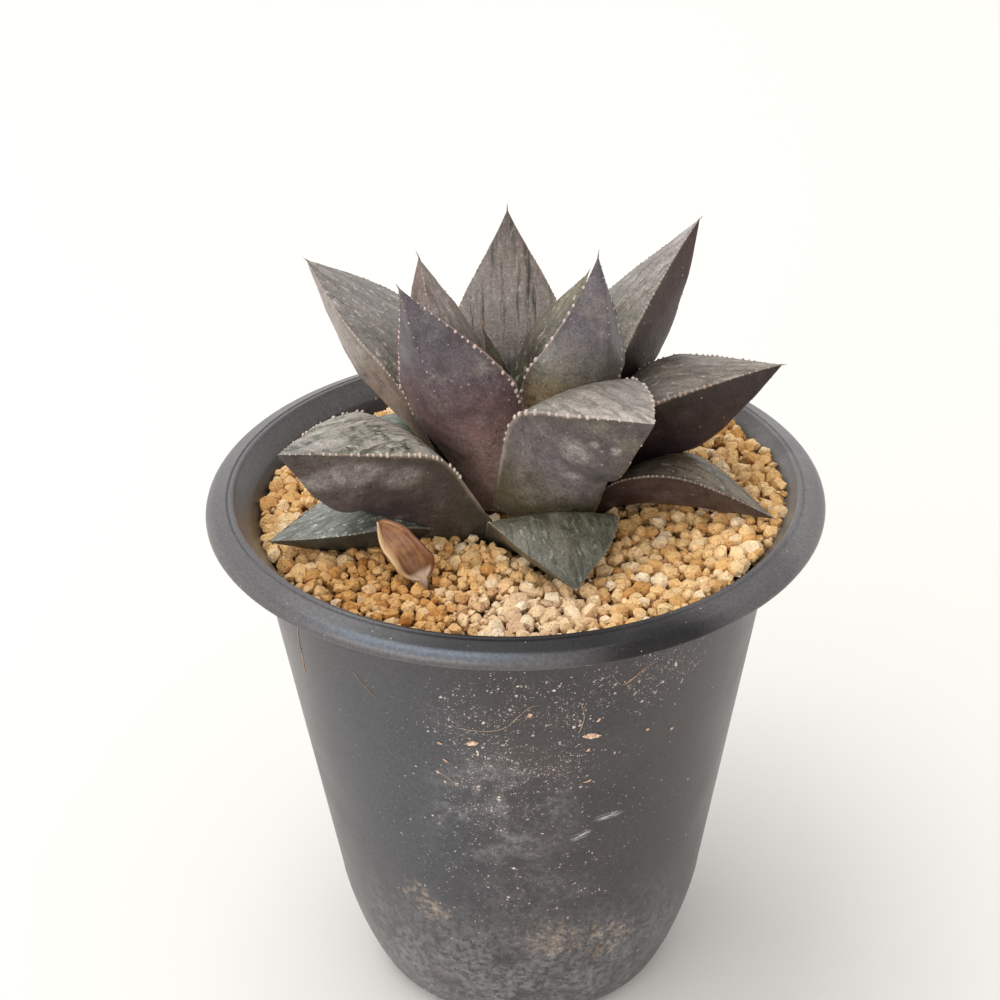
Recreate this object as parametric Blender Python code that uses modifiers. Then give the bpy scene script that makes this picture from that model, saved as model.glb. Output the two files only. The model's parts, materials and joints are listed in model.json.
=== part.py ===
"""Potted haworthia: a turned nursery pot full of granular soil, a short stem, and a rosette of thick leaves.

Metres, +Z up, the origin at the centre of the pot's foot.
"""

import math
import random
from collections import namedtuple

import bmesh
import bpy
from mathutils import Matrix, Vector
from mathutils.bvhtree import BVHTree

MM = 0.001
GAP = 0.3 * MM

# Pot, from the rim down
POT_HEIGHT = 82 * MM
RIM_RADIUS = 45 * MM
RIM_EDGE = 1.4 * MM
RIM_DROOP = 1.3 * MM
LIP_RADIUS = 41 * MM
BODY_RADIUS = 38.4 * MM
BODY_TOP = 80 * MM
TAPER = math.tan(math.radians(9.2))
WALL = 1.0 * MM
THROAT_HEIGHT = 77.5 * MM
ROUND_HEIGHT = 19 * MM
ROUND_POWER = 1.3
FOOT_RADIUS = 21.8 * MM
FOOT_INNER_RADIUS = 19.0 * MM
FOOT_STEP = 1.2 * MM
FLOOR_BOTTOM = 2.4 * MM
FLOOR_TOP = 4.0 * MM
DRAIN_RADIUS = 5 * MM
SMALL_DRAIN_RADIUS = 2.2 * MM
SMALL_DRAIN_CIRCLE = 13 * MM
SMALL_DRAINS = 6
NOTCHES = 6
NOTCH_WIDTH = 6 * MM
NOTCH_HEIGHT = 1.1 * MM
POT_STEPS = 36

# Soil: its level against the pot, its rise towards +X, its mound round the plant, how far the bed lies below the
# granules' middles, and the granules that cover it, larger than life
SOIL_LEVEL = 77.6 * MM
SOIL_SLOPE = 0.03
MOUND_HEIGHT = 1.2 * MM
MOUND_RADIUS = 30 * MM
GRANULE_SINK = 0.6 * MM
GRANULES = 112
GRANULE_RADIUS = 2.9 * MM
GRANULE_SPREAD = 36.5 * MM
SOIL_STEPS = 30

# The stem stands a little to the left of the pot's axis and behind it. Its profile is radius and height in mm
STEM_X = -1.0 * MM
STEM_Y = 3.0 * MM
STEM_PROFILE = ((0.0, 89.4), (1.1, 89.0), (2.8, 85.5), (4.2, 80.0), (4.0, 69.0), (2.6, 66.0), (0.0, 65.0))
STEM_STEPS = 20

# A leaf's section: points across the upper face from left to right, then back across the lower face
UPPER = (-1.0, -0.5, 0.0, 0.5, 1.0)
LOWER = (0.78, 0.42, 0.0, -0.42, -0.78)
STATIONS = 21
CROWN = 1.2 * MM
TOOTH = 0.45 * MM
KEEL_TOOTH = 0.3 * MM
TEETH_FROM = 0.25
KEEL_TEETH_FROM = 0.6

# Each leaf, youngest first: azimuth, rise at its base and rise at its tip in degrees, length, half width and depth in
# mm, roll and turn to the left in degrees, radius and height of its root in mm, share of its length where it is
# widest, fullness of its outline beyond there, and shares of its full width and depth at its root
Leaf = namedtuple(
    "Leaf",
    "azimuth rise rise_tip length half_width depth roll turn radius height widest fullness root_width root_depth",
)
LEAVES = {
    "leaf_heart": Leaf(-26, 100, 107, 16, 2.6, 1.9, 0, 1, 0.3, 89.9, 0.3, 1.35, 0.6, 0.5),
    "leaf_inner_back": Leaf(41, 70, 51, 28, 5.7, 3.5, -4, -1, 2.2, 86.0, 0.52, 1.45, 0.6, 0.5),
    "leaf_inner_left": Leaf(155, 74, 69, 32, 6.6, 6.8, -5, 11, 2.8, 85.3, 0.49, 1.17, 0.6, 0.5),
    "leaf_inner_right": Leaf(-11, 60, 83, 33.5, 8.8, 5.1, -58, 26, 2.7, 86.5, 0.49, 1.09, 0.6, 0.5),
    "leaf_upper_front_left": Leaf(225, 76, 61, 41.5, 9.1, 5.5, 31, -12, 3.5, 80.3, 0.52, 1.17, 0.75, 0.5),
    "leaf_upper_back": Leaf(87, 66, 48, 38.5, 9.1, 5.5, 0, 4, 4.0, 82.0, 0.5, 1.1, 0.75, 0.5),
    "leaf_upper_left": Leaf(148, 62, 32, 41, 9.7, 9.0, 8, 12, 5.0, 81.8, 0.6, 1.7, 0.75, 0.5),
    "leaf_upper_right": Leaf(43, 54, 40, 44.5, 8.0, 9.9, -11, -20, 4.6, 82.0, 0.47, 1.25, 0.75, 0.5),
    "leaf_middle_front": Leaf(-45, 70, 10, 40, 9.3, 12.5, -2, -17, 5.4, 83.0, 0.53, 1.39, 0.95, 0.85),
    "leaf_middle_right": Leaf(1, 52, 13, 41.5, 8.8, 11.5, -4, -19, 6.0, 81.5, 0.58, 1.13, 0.75, 0.7),
    "leaf_middle_left": Leaf(212, 58.5, 13.5, 44, 8.4, 12, -2, 19, 6.5, 78.5, 0.48, 1.35, 1.05, 0.95),
    "leaf_lower_back_left": Leaf(155, 37, -11, 24, 7.3, 4.6, 0, -4, 5.6, 79.7, 0.5, 1.35, 0.75, 0.5),
    "leaf_lower_back": Leaf(110, 28, -5, 29, 7.5, 5.5, -5, 0, 5.8, 79.8, 0.5, 1.35, 0.75, 0.5),
    "leaf_lower_back_right": Leaf(58, 29, -5, 29, 7.5, 5.5, 0, 0, 5.8, 80.0, 0.5, 1.35, 0.75, 0.5),
    "leaf_lower_right": Leaf(-12, 39, -22, 36, 7.6, 6.0, -12, -22, 8.5, 78.2, 0.44, 1.0, 0.75, 0.5),
    "leaf_lower_front": Leaf(-68.6, 41, -18, 28, 9.1, 7.0, -5, -14, 8.5, 77.4, 0.51, 1.36, 0.85, 0.6),
    "leaf_lower_left": Leaf(209, 25, -5, 32.5, 7.5, 5.9, 5, -3, 7.0, 77.0, 0.52, 1.48, 0.75, 0.5),
}
# The share of a leaf's length over which it bends outwards
BENDS = {
    "leaf_middle_front": (0.3, 0.65),
    "leaf_middle_left": (0.3, 0.6),
    "leaf_middle_right": (0.3, 0.7),
    "leaf_lower_front": (0.3, 0.7),
    "leaf_lower_left": (0.3, 0.7),
    "leaf_lower_back": (0.3, 0.7),
    "leaf_lower_back_left": (0.3, 0.7),
    "leaf_lower_back_right": (0.3, 0.7),
}
USUAL_BEND = (0.2, 0.8)

# Each leaf's own colour, from the brown heart to the green-grey and purple leaves round it
LEAF_COLOURS = {
    "leaf_heart": (0.20, 0.10, 0.05),
    "leaf_inner_back": (0.13, 0.13, 0.06),
    "leaf_inner_left": (0.20, 0.15, 0.13),
    "leaf_inner_right": (0.10, 0.09, 0.13),
    "leaf_upper_front_left": (0.13, 0.09, 0.10),
    "leaf_upper_back": (0.13, 0.11, 0.08),
    "leaf_upper_left": (0.14, 0.12, 0.10),
    "leaf_upper_right": (0.10, 0.07, 0.07),
    "leaf_middle_front": (0.09, 0.06, 0.08),
    "leaf_middle_right": (0.07, 0.06, 0.05),
    "leaf_middle_left": (0.08, 0.08, 0.06),
    "leaf_lower_back_left": (0.12, 0.17, 0.13),
    "leaf_lower_back": (0.09, 0.12, 0.10),
    "leaf_lower_back_right": (0.09, 0.12, 0.10),
    "leaf_lower_right": (0.08, 0.08, 0.06),
    "leaf_lower_front": (0.12, 0.10, 0.11),
    "leaf_lower_left": (0.09, 0.12, 0.10),
}

# The dead leaf: a curled strip of dry skin that stands in the soil, hollow towards the front and bowed to the right
DRY_ROOT = Vector((-12.8, -21.3, 77.0)) * MM
DRY_TIP = Vector((-18.7, -18.0, 87.6)) * MM
DRY_BACK = Vector((0.25, 0.97, 0.0))
DRY_BOW = 2.4 * MM
DRY_CURL_RADIUS = 2.9 * MM
DRY_CURL = math.radians(82)
DRY_THICKNESS = 0.7 * MM
DRY_ROWS = 10
DRY_COLUMNS = 6


def clear_scene():
    for obj in list(bpy.data.objects):
        bpy.data.objects.remove(obj, do_unlink=True)


def new_collection(name):
    collection = bpy.data.collections.new(name)
    bpy.context.scene.collection.children.link(collection)
    return collection


def material(name, colour, roughness, metallic=0.0):
    made = bpy.data.materials.new(name)
    made.use_nodes = True
    shader = made.node_tree.nodes["Principled BSDF"]
    shader.inputs["Base Color"].default_value = (*colour, 1.0)
    shader.inputs["Roughness"].default_value = roughness
    shader.inputs["Metallic"].default_value = metallic
    return made


def smooth(share):
    """A smooth step from 0 to 1."""
    share = min(max(share, 0.0), 1.0)
    return share * share * (3 - 2 * share)


def add_object(name, mesh, collection, finish=None):
    obj = bpy.data.objects.new(name, mesh)
    collection.objects.link(obj)
    if finish:
        mesh.materials.append(finish)
    return obj


def mesh_from(name, points, faces):
    mesh = bpy.data.meshes.new(name)
    mesh.from_pydata(points, [], faces)
    mesh.update()
    return mesh


def as_cutter(obj):
    obj.hide_render = True
    obj.display_type = "WIRE"
    return obj


def turned(name, profile, steps, collection, finish=None):
    """A profile of (radius, height) points, top to bottom on its outer side, turned about Z."""
    closed = profile[0][0] > 0
    edges = [(i, i + 1) for i in range(len(profile) - 1)]
    if closed:
        edges.append((len(profile) - 1, 0))
    mesh = bpy.data.meshes.new(name)
    mesh.from_pydata([(radius, 0.0, height) for radius, height in profile], edges, [])
    obj = add_object(name, mesh, collection, finish)
    screw = obj.modifiers.new("turn", "SCREW")
    screw.steps = steps
    screw.render_steps = steps
    screw.use_merge_vertices = True
    screw.merge_threshold = 0.00001
    screw.use_smooth_shade = True
    return obj


def apply_modifiers(obj):
    """Replaces an object's mesh by what its modifiers make of it."""
    graph = bpy.context.evaluated_depsgraph_get()
    made = bpy.data.meshes.new_from_object(obj.evaluated_get(graph))
    obj.modifiers.clear()
    obj.data = made
    return obj


def keep_largest(obj):
    """Drops the loose scraps that a cut leaves."""
    shape = bmesh.new()
    shape.from_mesh(obj.data)
    bmesh.ops.remove_doubles(shape, verts=shape.verts, dist=0.000002)
    left = set(shape.verts)
    islands = []
    while left:
        island = {left.pop()}
        edge = list(island)
        while edge:
            for link in edge.pop().link_edges:
                for vert in link.verts:
                    if vert in left:
                        left.remove(vert)
                        island.add(vert)
                        edge.append(vert)
        islands.append(island)
    islands.sort(key=len)
    scraps = [vert for island in islands[:-1] for vert in island]
    bmesh.ops.delete(shape, geom=scraps, context="VERTS")
    shape.to_mesh(obj.data)
    shape.free()


def boolean(obj, other, operation, solver="EXACT"):
    cut = obj.modifiers.new(operation.lower(), "BOOLEAN")
    cut.operation = operation
    cut.object = other
    cut.solver = solver
    return cut


def body_radius(height):
    """The pot's outer radius under its rim."""
    straight = BODY_RADIUS - (BODY_TOP - height) * TAPER
    if height >= ROUND_HEIGHT:
        return straight
    top = BODY_RADIUS - (BODY_TOP - ROUND_HEIGHT) * TAPER
    share = (1 - height / ROUND_HEIGHT) ** ROUND_POWER
    return FOOT_RADIUS + (top - FOOT_RADIUS) * (1 - share) ** (1 / ROUND_POWER)


def inside_radius(height):
    """The pot's inner radius, which flares from the throat to the lip."""
    wall = body_radius(min(height, THROAT_HEIGHT)) - WALL
    if height <= THROAT_HEIGHT:
        return wall
    lip = POT_HEIGHT + RIM_DROOP
    share = min((height - THROAT_HEIGHT) / (lip - THROAT_HEIGHT), 1.0)
    return wall + (LIP_RADIUS - wall) * share**1.4


def pot_profile():
    lip = POT_HEIGHT + RIM_DROOP
    edge = RIM_EDGE / 2
    top = [(LIP_RADIUS, lip), (LIP_RADIUS + 0.7 * MM, lip)]
    top.append((RIM_RADIUS - edge, POT_HEIGHT))
    for turn in (60, 20, -20, -60):
        angle = math.radians(turn)
        top.append((RIM_RADIUS - edge + edge * math.cos(angle), POT_HEIGHT - edge + edge * math.sin(angle)))
    top.append((RIM_RADIUS - 2 * edge, POT_HEIGHT - RIM_EDGE))
    top.append((BODY_RADIUS + 0.9 * MM, BODY_TOP + 0.9 * MM))
    top.append((BODY_RADIUS + 0.1 * MM, BODY_TOP))
    outside = [(body_radius(height * MM), height * MM) for height in (19, 14, 9.5, 6, 3.5, 1.9)]
    outside.append((FOOT_RADIUS, FOOT_STEP / 2))
    foot = [(FOOT_RADIUS - 0.4 * MM, 0.0), (FOOT_INNER_RADIUS, 0.0), (FOOT_INNER_RADIUS, FLOOR_BOTTOM)]
    floor = [(DRAIN_RADIUS, FLOOR_BOTTOM), (DRAIN_RADIUS, FLOOR_TOP), (FOOT_INNER_RADIUS, FLOOR_TOP)]
    inside = [(inside_radius(height * MM), height * MM) for height in (6, 9.5, 14, 19, 77.5, 79.5, 81.5)]
    return top + outside + foot + floor + inside


def ring_of_cutters(name, count, radius, collection, shape):
    """Copies of one cutting shape set round the pot's axis, in one mesh."""
    cutters = bmesh.new()
    for index in range(count):
        turn = Matrix.Rotation(math.tau * index / count, 4, "Z")
        shape(cutters, turn @ Matrix.Translation((radius, 0, 0)))
    mesh = bpy.data.meshes.new(name)
    cutters.to_mesh(mesh)
    cutters.free()
    return as_cutter(add_object(name, mesh, collection))


def notch(cutters, place):
    size = Matrix.Diagonal((8 * MM, NOTCH_WIDTH, 2 * NOTCH_HEIGHT, 1))
    bmesh.ops.create_cube(cutters, size=1.0, matrix=place @ size)


def small_drain(cutters, place):
    bmesh.ops.create_cone(
        cutters,
        cap_ends=True,
        segments=12,
        radius1=SMALL_DRAIN_RADIUS,
        radius2=SMALL_DRAIN_RADIUS,
        depth=4 * FLOOR_BOTTOM,
        matrix=place,
    )


def make_pot(parts, cutters):
    finish = material("black_plastic", (0.035, 0.035, 0.037), 0.5)
    pot = turned("pot", pot_profile(), POT_STEPS, parts, finish)
    middle = (FOOT_RADIUS + FOOT_INNER_RADIUS) / 2
    boolean(pot, ring_of_cutters("foot_notches", NOTCHES, middle, cutters, notch), "DIFFERENCE")
    drains = ring_of_cutters("drain_cutters", SMALL_DRAINS, SMALL_DRAIN_CIRCLE, cutters, small_drain)
    boolean(pot, drains, "DIFFERENCE")
    return pot


def leaf_line(leaf, bend, count):
    """Stations along a leaf: share of length, place, sideways direction and upward direction."""
    place = Vector((STEM_X, STEM_Y, leaf.height * MM))
    root = math.radians(leaf.azimuth)
    place += Vector((math.cos(root), math.sin(root), 0)) * leaf.radius * MM
    fine = 8
    step = leaf.length * MM / (count * fine)
    for index in range(count * fine + 1):
        share = index / (count * fine)
        azimuth = math.radians(leaf.azimuth + leaf.turn * share)
        outwards = Vector((math.cos(azimuth), math.sin(azimuth), 0))
        if index % fine == 0:
            lean = math.radians(leaf.rise + (leaf.rise_tip - leaf.rise) * smooth(share))
            roll = math.radians(leaf.roll) * smooth(share / 0.4)
            side = Vector((-math.sin(azimuth), math.cos(azimuth), 0))
            up = Vector((0, 0, math.cos(lean))) - outwards * math.sin(lean)
            left = side * math.cos(roll) + up * math.sin(roll)
            yield share, place.copy(), left, up * math.cos(roll) - side * math.sin(roll)
        bent = smooth((share - bend[0]) / (bend[1] - bend[0]))
        rise = math.radians(leaf.rise + (leaf.rise_tip - leaf.rise) * bent)
        place += (outwards * math.cos(rise) + Vector((0, 0, math.sin(rise)))) * step


def leaf_section(leaf, share):
    """A leaf's half width, depth, crown and keel sharpness at a share of its length."""
    if share < leaf.widest:
        width = leaf.root_width + (1 - leaf.root_width) * smooth(share / leaf.widest)
    else:
        past = (share - leaf.widest) / (1 - leaf.widest)
        width = 1 - past**leaf.fullness + 0.03 * math.sin(math.tau * past) * past
    if share < 0.55:
        depth = leaf.root_depth + (1 - leaf.root_depth) * smooth(share / 0.55)
    else:
        depth = 1 - ((share - 0.55) / 0.45) ** 1.6
    crown = smooth((share - 0.25) / 0.3) * (1 - smooth((share - 0.6) / 0.4)) - 0.6 * (1 - smooth(share / 0.4))
    sharpness = 2.0 - 0.7 * smooth((share - 0.3) / 0.6)
    return leaf.half_width * MM * width, leaf.depth * MM * depth, CROWN * crown, sharpness


def leaf_mesh(name, swell=0.0):
    """A closed loft along the leaf's line. With a swell it is the room that the leaf needs, teeth and all."""
    leaf = LEAVES[name]
    stations = list(leaf_line(leaf, BENDS.get(name, USUAL_BEND), STATIONS))
    points = []
    ring = len(UPPER) + len(LOWER)
    for index, (share, place, left, up) in enumerate(stations[:-1]):
        width, depth, crown, sharpness = leaf_section(leaf, share)
        tooth = TOOTH if index % 2 and share > TEETH_FROM else 0.0
        keel = KEEL_TOOTH if index % 2 and share > KEEL_TEETH_FROM else 0.0
        if swell:
            tooth = TOOTH + swell
            keel = KEEL_TOOTH if share > KEEL_TEETH_FROM else 0.0
        back = (left.cross(up)) * swell if index == 0 else Vector()
        for across in UPPER:
            rise = crown * (1 - across**2) + swell
            reach = across * (width + (tooth if abs(across) == 1 else 0.0))
            points.append(place + left * reach + up * rise - back)
        for across in LOWER:
            drop = depth * (1 - abs(across) ** sharpness) + swell + (keel if across == 0 else 0.0)
            points.append(place + left * across * width - up * drop - back)
    onwards = (stations[-1][1] - stations[-2][1]).normalized()
    points.append(stations[-1][1] + onwards * 3 * swell)
    faces = []
    for row in range(STATIONS - 1):
        for column in range(ring):
            beside = (column + 1) % ring
            low = row * ring
            faces.append((low + column, low + beside, low + ring + beside, low + ring + column))
    last = (STATIONS - 1) * ring
    tip = len(points) - 1
    faces += [(last + column, last + (column + 1) % ring, tip) for column in range(ring)]
    faces.append(tuple(reversed(range(ring))))
    mesh = mesh_from(name, points, faces)
    shape = bmesh.new()
    shape.from_mesh(mesh)
    bmesh.ops.triangulate(shape, faces=shape.faces)
    bmesh.ops.recalc_face_normals(shape, faces=shape.faces)
    shape.to_mesh(mesh)
    shape.free()
    return mesh


def tree_of(obj):
    shape = bmesh.new()
    shape.from_mesh(obj.data)
    tree = BVHTree.FromBMesh(shape)
    shape.free()
    return tree


def make_stem(parts, cutters):
    finish = material("leaf_base_green", (0.10, 0.11, 0.05), 0.6)
    stem = turned("stem", [(r * MM, z * MM) for r, z in STEM_PROFILE], STEM_STEPS, parts, finish)
    room = [((r * MM + GAP if r else 0.0), (z * MM + (GAP if z > 80 else -GAP))) for r, z in STEM_PROFILE]
    cutter = turned("stem_room", room, STEM_STEPS, cutters)
    for obj in (stem, cutter):
        apply_modifiers(obj)
        obj.data.transform(Matrix.Translation((STEM_X, STEM_Y, 0)))
    return stem, as_cutter(cutter)


def make_leaves(parts, cutters, stem_room):
    """The leaves from the heart outwards. Each older one is shaped round the stem and the younger ones it clasps."""
    rooms = [stem_room]
    for name in LEAVES:
        finish = material(name + "_skin", LEAF_COLOURS[name], 0.5)
        leaf = add_object(name, leaf_mesh(name), parts, finish)
        own = tree_of(leaf)
        for room in rooms:
            if own.overlap(tree_of(room)):
                boolean(leaf, room, "DIFFERENCE")
        apply_modifiers(leaf)
        keep_largest(leaf)
        leaf.data.shade_smooth()
        leaf.data.set_sharp_from_angle(angle=math.radians(40))
        rooms.append(as_cutter(add_object(name + "_room", leaf_mesh(name, GAP), cutters)))
    return rooms


def dry_leaf_mesh(name, swell):
    """A strip of a cylinder's skin that narrows to both ends."""
    along = (DRY_TIP - DRY_ROOT).normalized()
    root = DRY_ROOT - along * swell
    line = DRY_TIP + along * swell - root
    back = DRY_BACK.cross(along).cross(-along).normalized()
    across = along.cross(back)
    points = []
    for row in range(DRY_ROWS + 1):
        share = row / DRY_ROWS
        curl = DRY_CURL * max(0.09, math.sin(math.pi * (0.1 + 0.88 * share)) ** 0.8)
        radius = DRY_CURL_RADIUS * (1 + 0.08 * math.sin(7 * share))
        curl += swell / radius
        bow = across * DRY_BOW * math.sin(math.pi * share)
        for column in range(DRY_COLUMNS + 1):
            angle = curl * (2 * column / DRY_COLUMNS - 1)
            out = back * math.cos(angle) + across * math.sin(angle)
            points.append(root + line * share - bow + (out - back) * radius)
    wide = DRY_COLUMNS + 1
    faces = []
    for row in range(DRY_ROWS):
        for column in range(DRY_COLUMNS):
            low = row * wide + column
            faces.append((low, low + 1, low + wide + 1, low + wide))
    return mesh_from(name, points, faces)


def make_dry_leaf(parts, cutters):
    finish = material("dry_leaf_brown", (0.28, 0.10, 0.04), 0.7)
    made = []
    for name, swell, collection in (("leaf_dry", 0.0, parts), ("leaf_dry_room", GAP, cutters)):
        obj = add_object(name, dry_leaf_mesh(name, swell), collection, finish)
        shell = obj.modifiers.new("skin", "SOLIDIFY")
        shell.thickness = DRY_THICKNESS + 2 * swell
        shell.offset = 0.0
        apply_modifiers(obj)
        made.append(obj)
    made[0].data.shade_smooth()
    made[0].data.set_sharp_from_angle(angle=math.radians(40))
    return as_cutter(made[1])


def soil_height(x, y):
    """The height of the granules' middles."""
    return SOIL_LEVEL + SOIL_SLOPE * x + MOUND_HEIGHT * (1 - smooth(math.hypot(x, y) / MOUND_RADIUS))


def soil_profile():
    """The bed under the granules. It lies against the pot's wall and stands on its floor."""
    top = [(radius * MM, soil_height(0, radius * MM) - GRANULE_SINK) for radius in (0, 12, 22)]
    edge = SOIL_LEVEL - GRANULE_SINK
    top.append((inside_radius(edge) - 3 * GAP, edge))
    wall = [(inside_radius(height * MM) - GAP, height * MM) for height in (75, 19, 14, 9.5, 6)]
    low = FLOOR_TOP + GAP
    return top + wall + [(FOOT_INNER_RADIUS - 2 * GAP, low), (0.0, low)]


def add_granule(shape, draw, place, radius):
    """A rough block with eight uneven corners."""
    made = bmesh.ops.create_cube(shape, size=radius * 1.15)
    turn = Matrix.Rotation(draw.uniform(0, math.tau), 4, Vector((draw.random(), draw.random(), draw.random())))
    squash = Matrix.Diagonal((draw.uniform(0.85, 1.2), draw.uniform(0.85, 1.2), draw.uniform(0.85, 1.1), 1))
    for vert in made["verts"]:
        vert.co *= draw.uniform(0.8, 1.15)
    bmesh.ops.transform(shape, matrix=Matrix.Translation(place) @ turn @ squash, verts=made["verts"])


def granule_places(draw):
    """Places on an even spiral, each shifted a little, as far out as the pot's wall lets them lie."""
    golden = math.pi * (3 - math.sqrt(5))
    for index in range(GRANULES):
        reach = math.sqrt((index + 0.5) / GRANULES) * GRANULE_SPREAD
        angle = index * golden
        x = reach * math.cos(angle) + draw.uniform(-0.5, 0.5) * MM
        y = reach * math.sin(angle) + draw.uniform(-0.5, 0.5) * MM
        radius = GRANULE_RADIUS * draw.uniform(0.8, 1.15)
        height = soil_height(x, y) + draw.uniform(-0.5, 0.5) * MM
        limit = inside_radius(height) - GAP - 1.2 * radius
        far = math.hypot(x, y)
        if far > limit:
            x *= limit / far
            y *= limit / far
        yield Vector((x, y, height)), radius


def make_soil(parts, cutters, rooms):
    """The bed and its granules in one solid, with a plain hole for the stem and a seat under each leaf that lies."""
    finish = material("soil_granules", (0.55, 0.36, 0.18), 0.9)
    soil = turned("soil", soil_profile(), SOIL_STEPS, parts, finish)
    apply_modifiers(soil)
    for vert in soil.data.vertices:
        if vert.co.z > 76 * MM:
            vert.co.z += SOIL_SLOPE * vert.co.x
    draw = random.Random(11)
    loose = bpy.data.collections.new("granules")
    bpy.context.scene.collection.children.link(loose)
    for index, (place, radius) in enumerate(granule_places(draw)):
        shape = bmesh.new()
        add_granule(shape, draw, place, radius)
        mesh = bpy.data.meshes.new("granule")
        shape.to_mesh(mesh)
        shape.free()
        add_object("granule_%03d" % index, mesh, loose)
    # EXACT is slow on so many blocks, and every mesh here is closed
    joined = soil.modifiers.new("granules", "BOOLEAN")
    joined.operation = "UNION"
    joined.operand_type = "COLLECTION"
    joined.collection = loose
    joined.solver = "MANIFOLD"
    apply_modifiers(soil)
    for obj in list(loose.objects):
        bpy.data.objects.remove(obj, do_unlink=True)
    bpy.data.collections.remove(loose)
    whole = tree_of(soil)
    for room in rooms:
        if whole.overlap(tree_of(room)):
            boolean(soil, room, "DIFFERENCE", "MANIFOLD")
    apply_modifiers(soil)
    keep_largest(soil)
    return soil


def main():
    clear_scene()
    parts = new_collection("potted_haworthia")
    cutters = new_collection("cutters")
    make_pot(parts, cutters)
    stem, stem_room = make_stem(parts, cutters)
    rooms = make_leaves(parts, cutters, stem_room)
    rooms.append(make_dry_leaf(parts, cutters))
    make_soil(parts, cutters, rooms)


main()
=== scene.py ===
"""A haworthia in its black nursery pot: the looks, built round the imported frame.

Metres, +Z up, the origin at the centre of the pot's foot, +Y away from the camera.
"""

import json
import math
import random
from collections import namedtuple
from functools import partial

import bmesh
import bpy
import numpy as np
from mathutils import Matrix, Vector, noise
from mathutils.bvhtree import BVHTree

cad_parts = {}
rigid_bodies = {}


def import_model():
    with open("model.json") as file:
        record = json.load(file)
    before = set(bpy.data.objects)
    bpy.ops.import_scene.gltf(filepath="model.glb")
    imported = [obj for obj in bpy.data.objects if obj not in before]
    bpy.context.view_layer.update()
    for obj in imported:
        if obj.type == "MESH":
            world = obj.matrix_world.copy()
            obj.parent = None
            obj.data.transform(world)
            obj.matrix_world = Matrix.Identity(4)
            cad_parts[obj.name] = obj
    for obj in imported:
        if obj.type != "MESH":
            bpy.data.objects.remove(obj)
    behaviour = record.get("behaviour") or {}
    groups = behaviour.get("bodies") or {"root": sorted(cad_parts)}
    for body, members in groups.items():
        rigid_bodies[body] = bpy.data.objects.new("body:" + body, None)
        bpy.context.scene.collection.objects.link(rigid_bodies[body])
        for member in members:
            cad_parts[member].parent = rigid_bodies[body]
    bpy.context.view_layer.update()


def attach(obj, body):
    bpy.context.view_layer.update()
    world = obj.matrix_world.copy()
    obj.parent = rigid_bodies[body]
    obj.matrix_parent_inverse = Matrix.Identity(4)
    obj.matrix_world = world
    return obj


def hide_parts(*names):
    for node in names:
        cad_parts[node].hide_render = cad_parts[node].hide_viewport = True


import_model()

MM = 0.001
# Points closer than this are one
MERGE = 0.01 * MM

# Camera: focal length and sensor in mm, distance in metres from the middle of the pot's rim, height above it
# and roll in degrees, and that middle's place in the photograph in pixels
PHOTO_WIDTH = 1000
LENS = 86.4
SENSOR = 36.0
DISTANCE = 0.3497
ELEVATION = 29.97
ROLL = -0.88
RIM_MIDDLE = (515.15, 488.7)
RIM_HEIGHT = 82 * MM

# The flange's edge is rolled over: the roll's middle, by its radius and height, and its own radius, in mm
FLANGE_EDGE = (43.1, 80.75)
EDGE_ROLL = 1.88
# Heights in mm of the section's points, down the outside and up the inside
HEIGHTS_DOWN = (79, 76, 70, 62, 54, 46, 38, 30, 24, 21, 19, 17, 15, 13, 11, 9, 7.5, 6, 4.8, 3.6, 2.6, 1.8)
HEIGHTS_UP = (6, 7.5, 9.5, 12, 14, 17, 19, 30, 50, 70, 76, 77.5, 78.5, 79.5, 80.5, 81.5, 82.3)
LIP_RADIUS = 41 * MM
LIP_HEIGHT = 83.3 * MM
BODY_RADIUS = 38.4 * MM
BODY_TOP = 80 * MM
TAPER = math.tan(math.radians(9.2))
WALL = 1.0 * MM
THROAT_HEIGHT = 77.5 * MM
ROUND_HEIGHT = 19 * MM
ROUND_POWER = 1.3
FOOT_RADIUS = 21.8 * MM
FOOT_INNER_RADIUS = 19.0 * MM
FLOOR_BOTTOM = 2.4 * MM
FLOOR_TOP = 4.0 * MM
NOTCHES = 6
NOTCH_SIZE = (8 * MM, 6 * MM, 2.2 * MM)
NOTCH_CIRCLE = 20.4 * MM
DRAIN_RADIUS = 5 * MM
SMALL_DRAIN_RADIUS = 2.2 * MM
SMALL_DRAIN_CIRCLE = 13 * MM
POT_STEPS = 144

# Marks on the pot: soft round patches, by the middle and size of each in mm
# The first five marks are painted light, shade and reflection; the others are dirt
POT_MARKS = {
    "window_reflection": [((-17, -28, 52), (20, 26, 46))],
    "flange_front_shade": [((2, -46, 82), (36, 20, 12))],
    "flange_corner_shade": [((20, -41, 81), (18, 10, 6))],
    "flange_edge_highlight": [((-15, -42, 82), (22, 14, 8))],
    "throat_lit": [((39, 0, 81), (7, 34, 6))],
    "dust": [
        ((-1, -34, 66), (15, 20, 11)), ((2, -33, 60), (10, 18, 10)),
        ((18, -31, 71), (13, 14, 8)), ((-3, -32, 52), (9, 16, 9)),
    ],
    "dust_thin": [((0, -30, 45), (24, 26, 36))],
    "film": [((-3, -31, 48), (15, 18, 17))],
    "film_low": [((1, -27, 31), (13, 16, 13))],
    "mud": [
        ((-15.5, -26, 28.5), (4.5, 8, 5)), ((-12.5, -26, 25.5), (5, 8, 5)),
        ((4, -26, 21.5), (10, 10, 9)), ((12, -24, 19), (9, 10, 9)),
    ],
    "mud_low": [((2, -23, 14), (12, 9, 6))],
}
# Two white scratches, by middle in mm, turn in degrees and size in mm
SCRATCHES = [((12.6, -30, 45.4), 2, (2.8, 9, 0.8)), ((8.6, -30, 42.6), 24, (2.0, 9, 0.9))]
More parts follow.
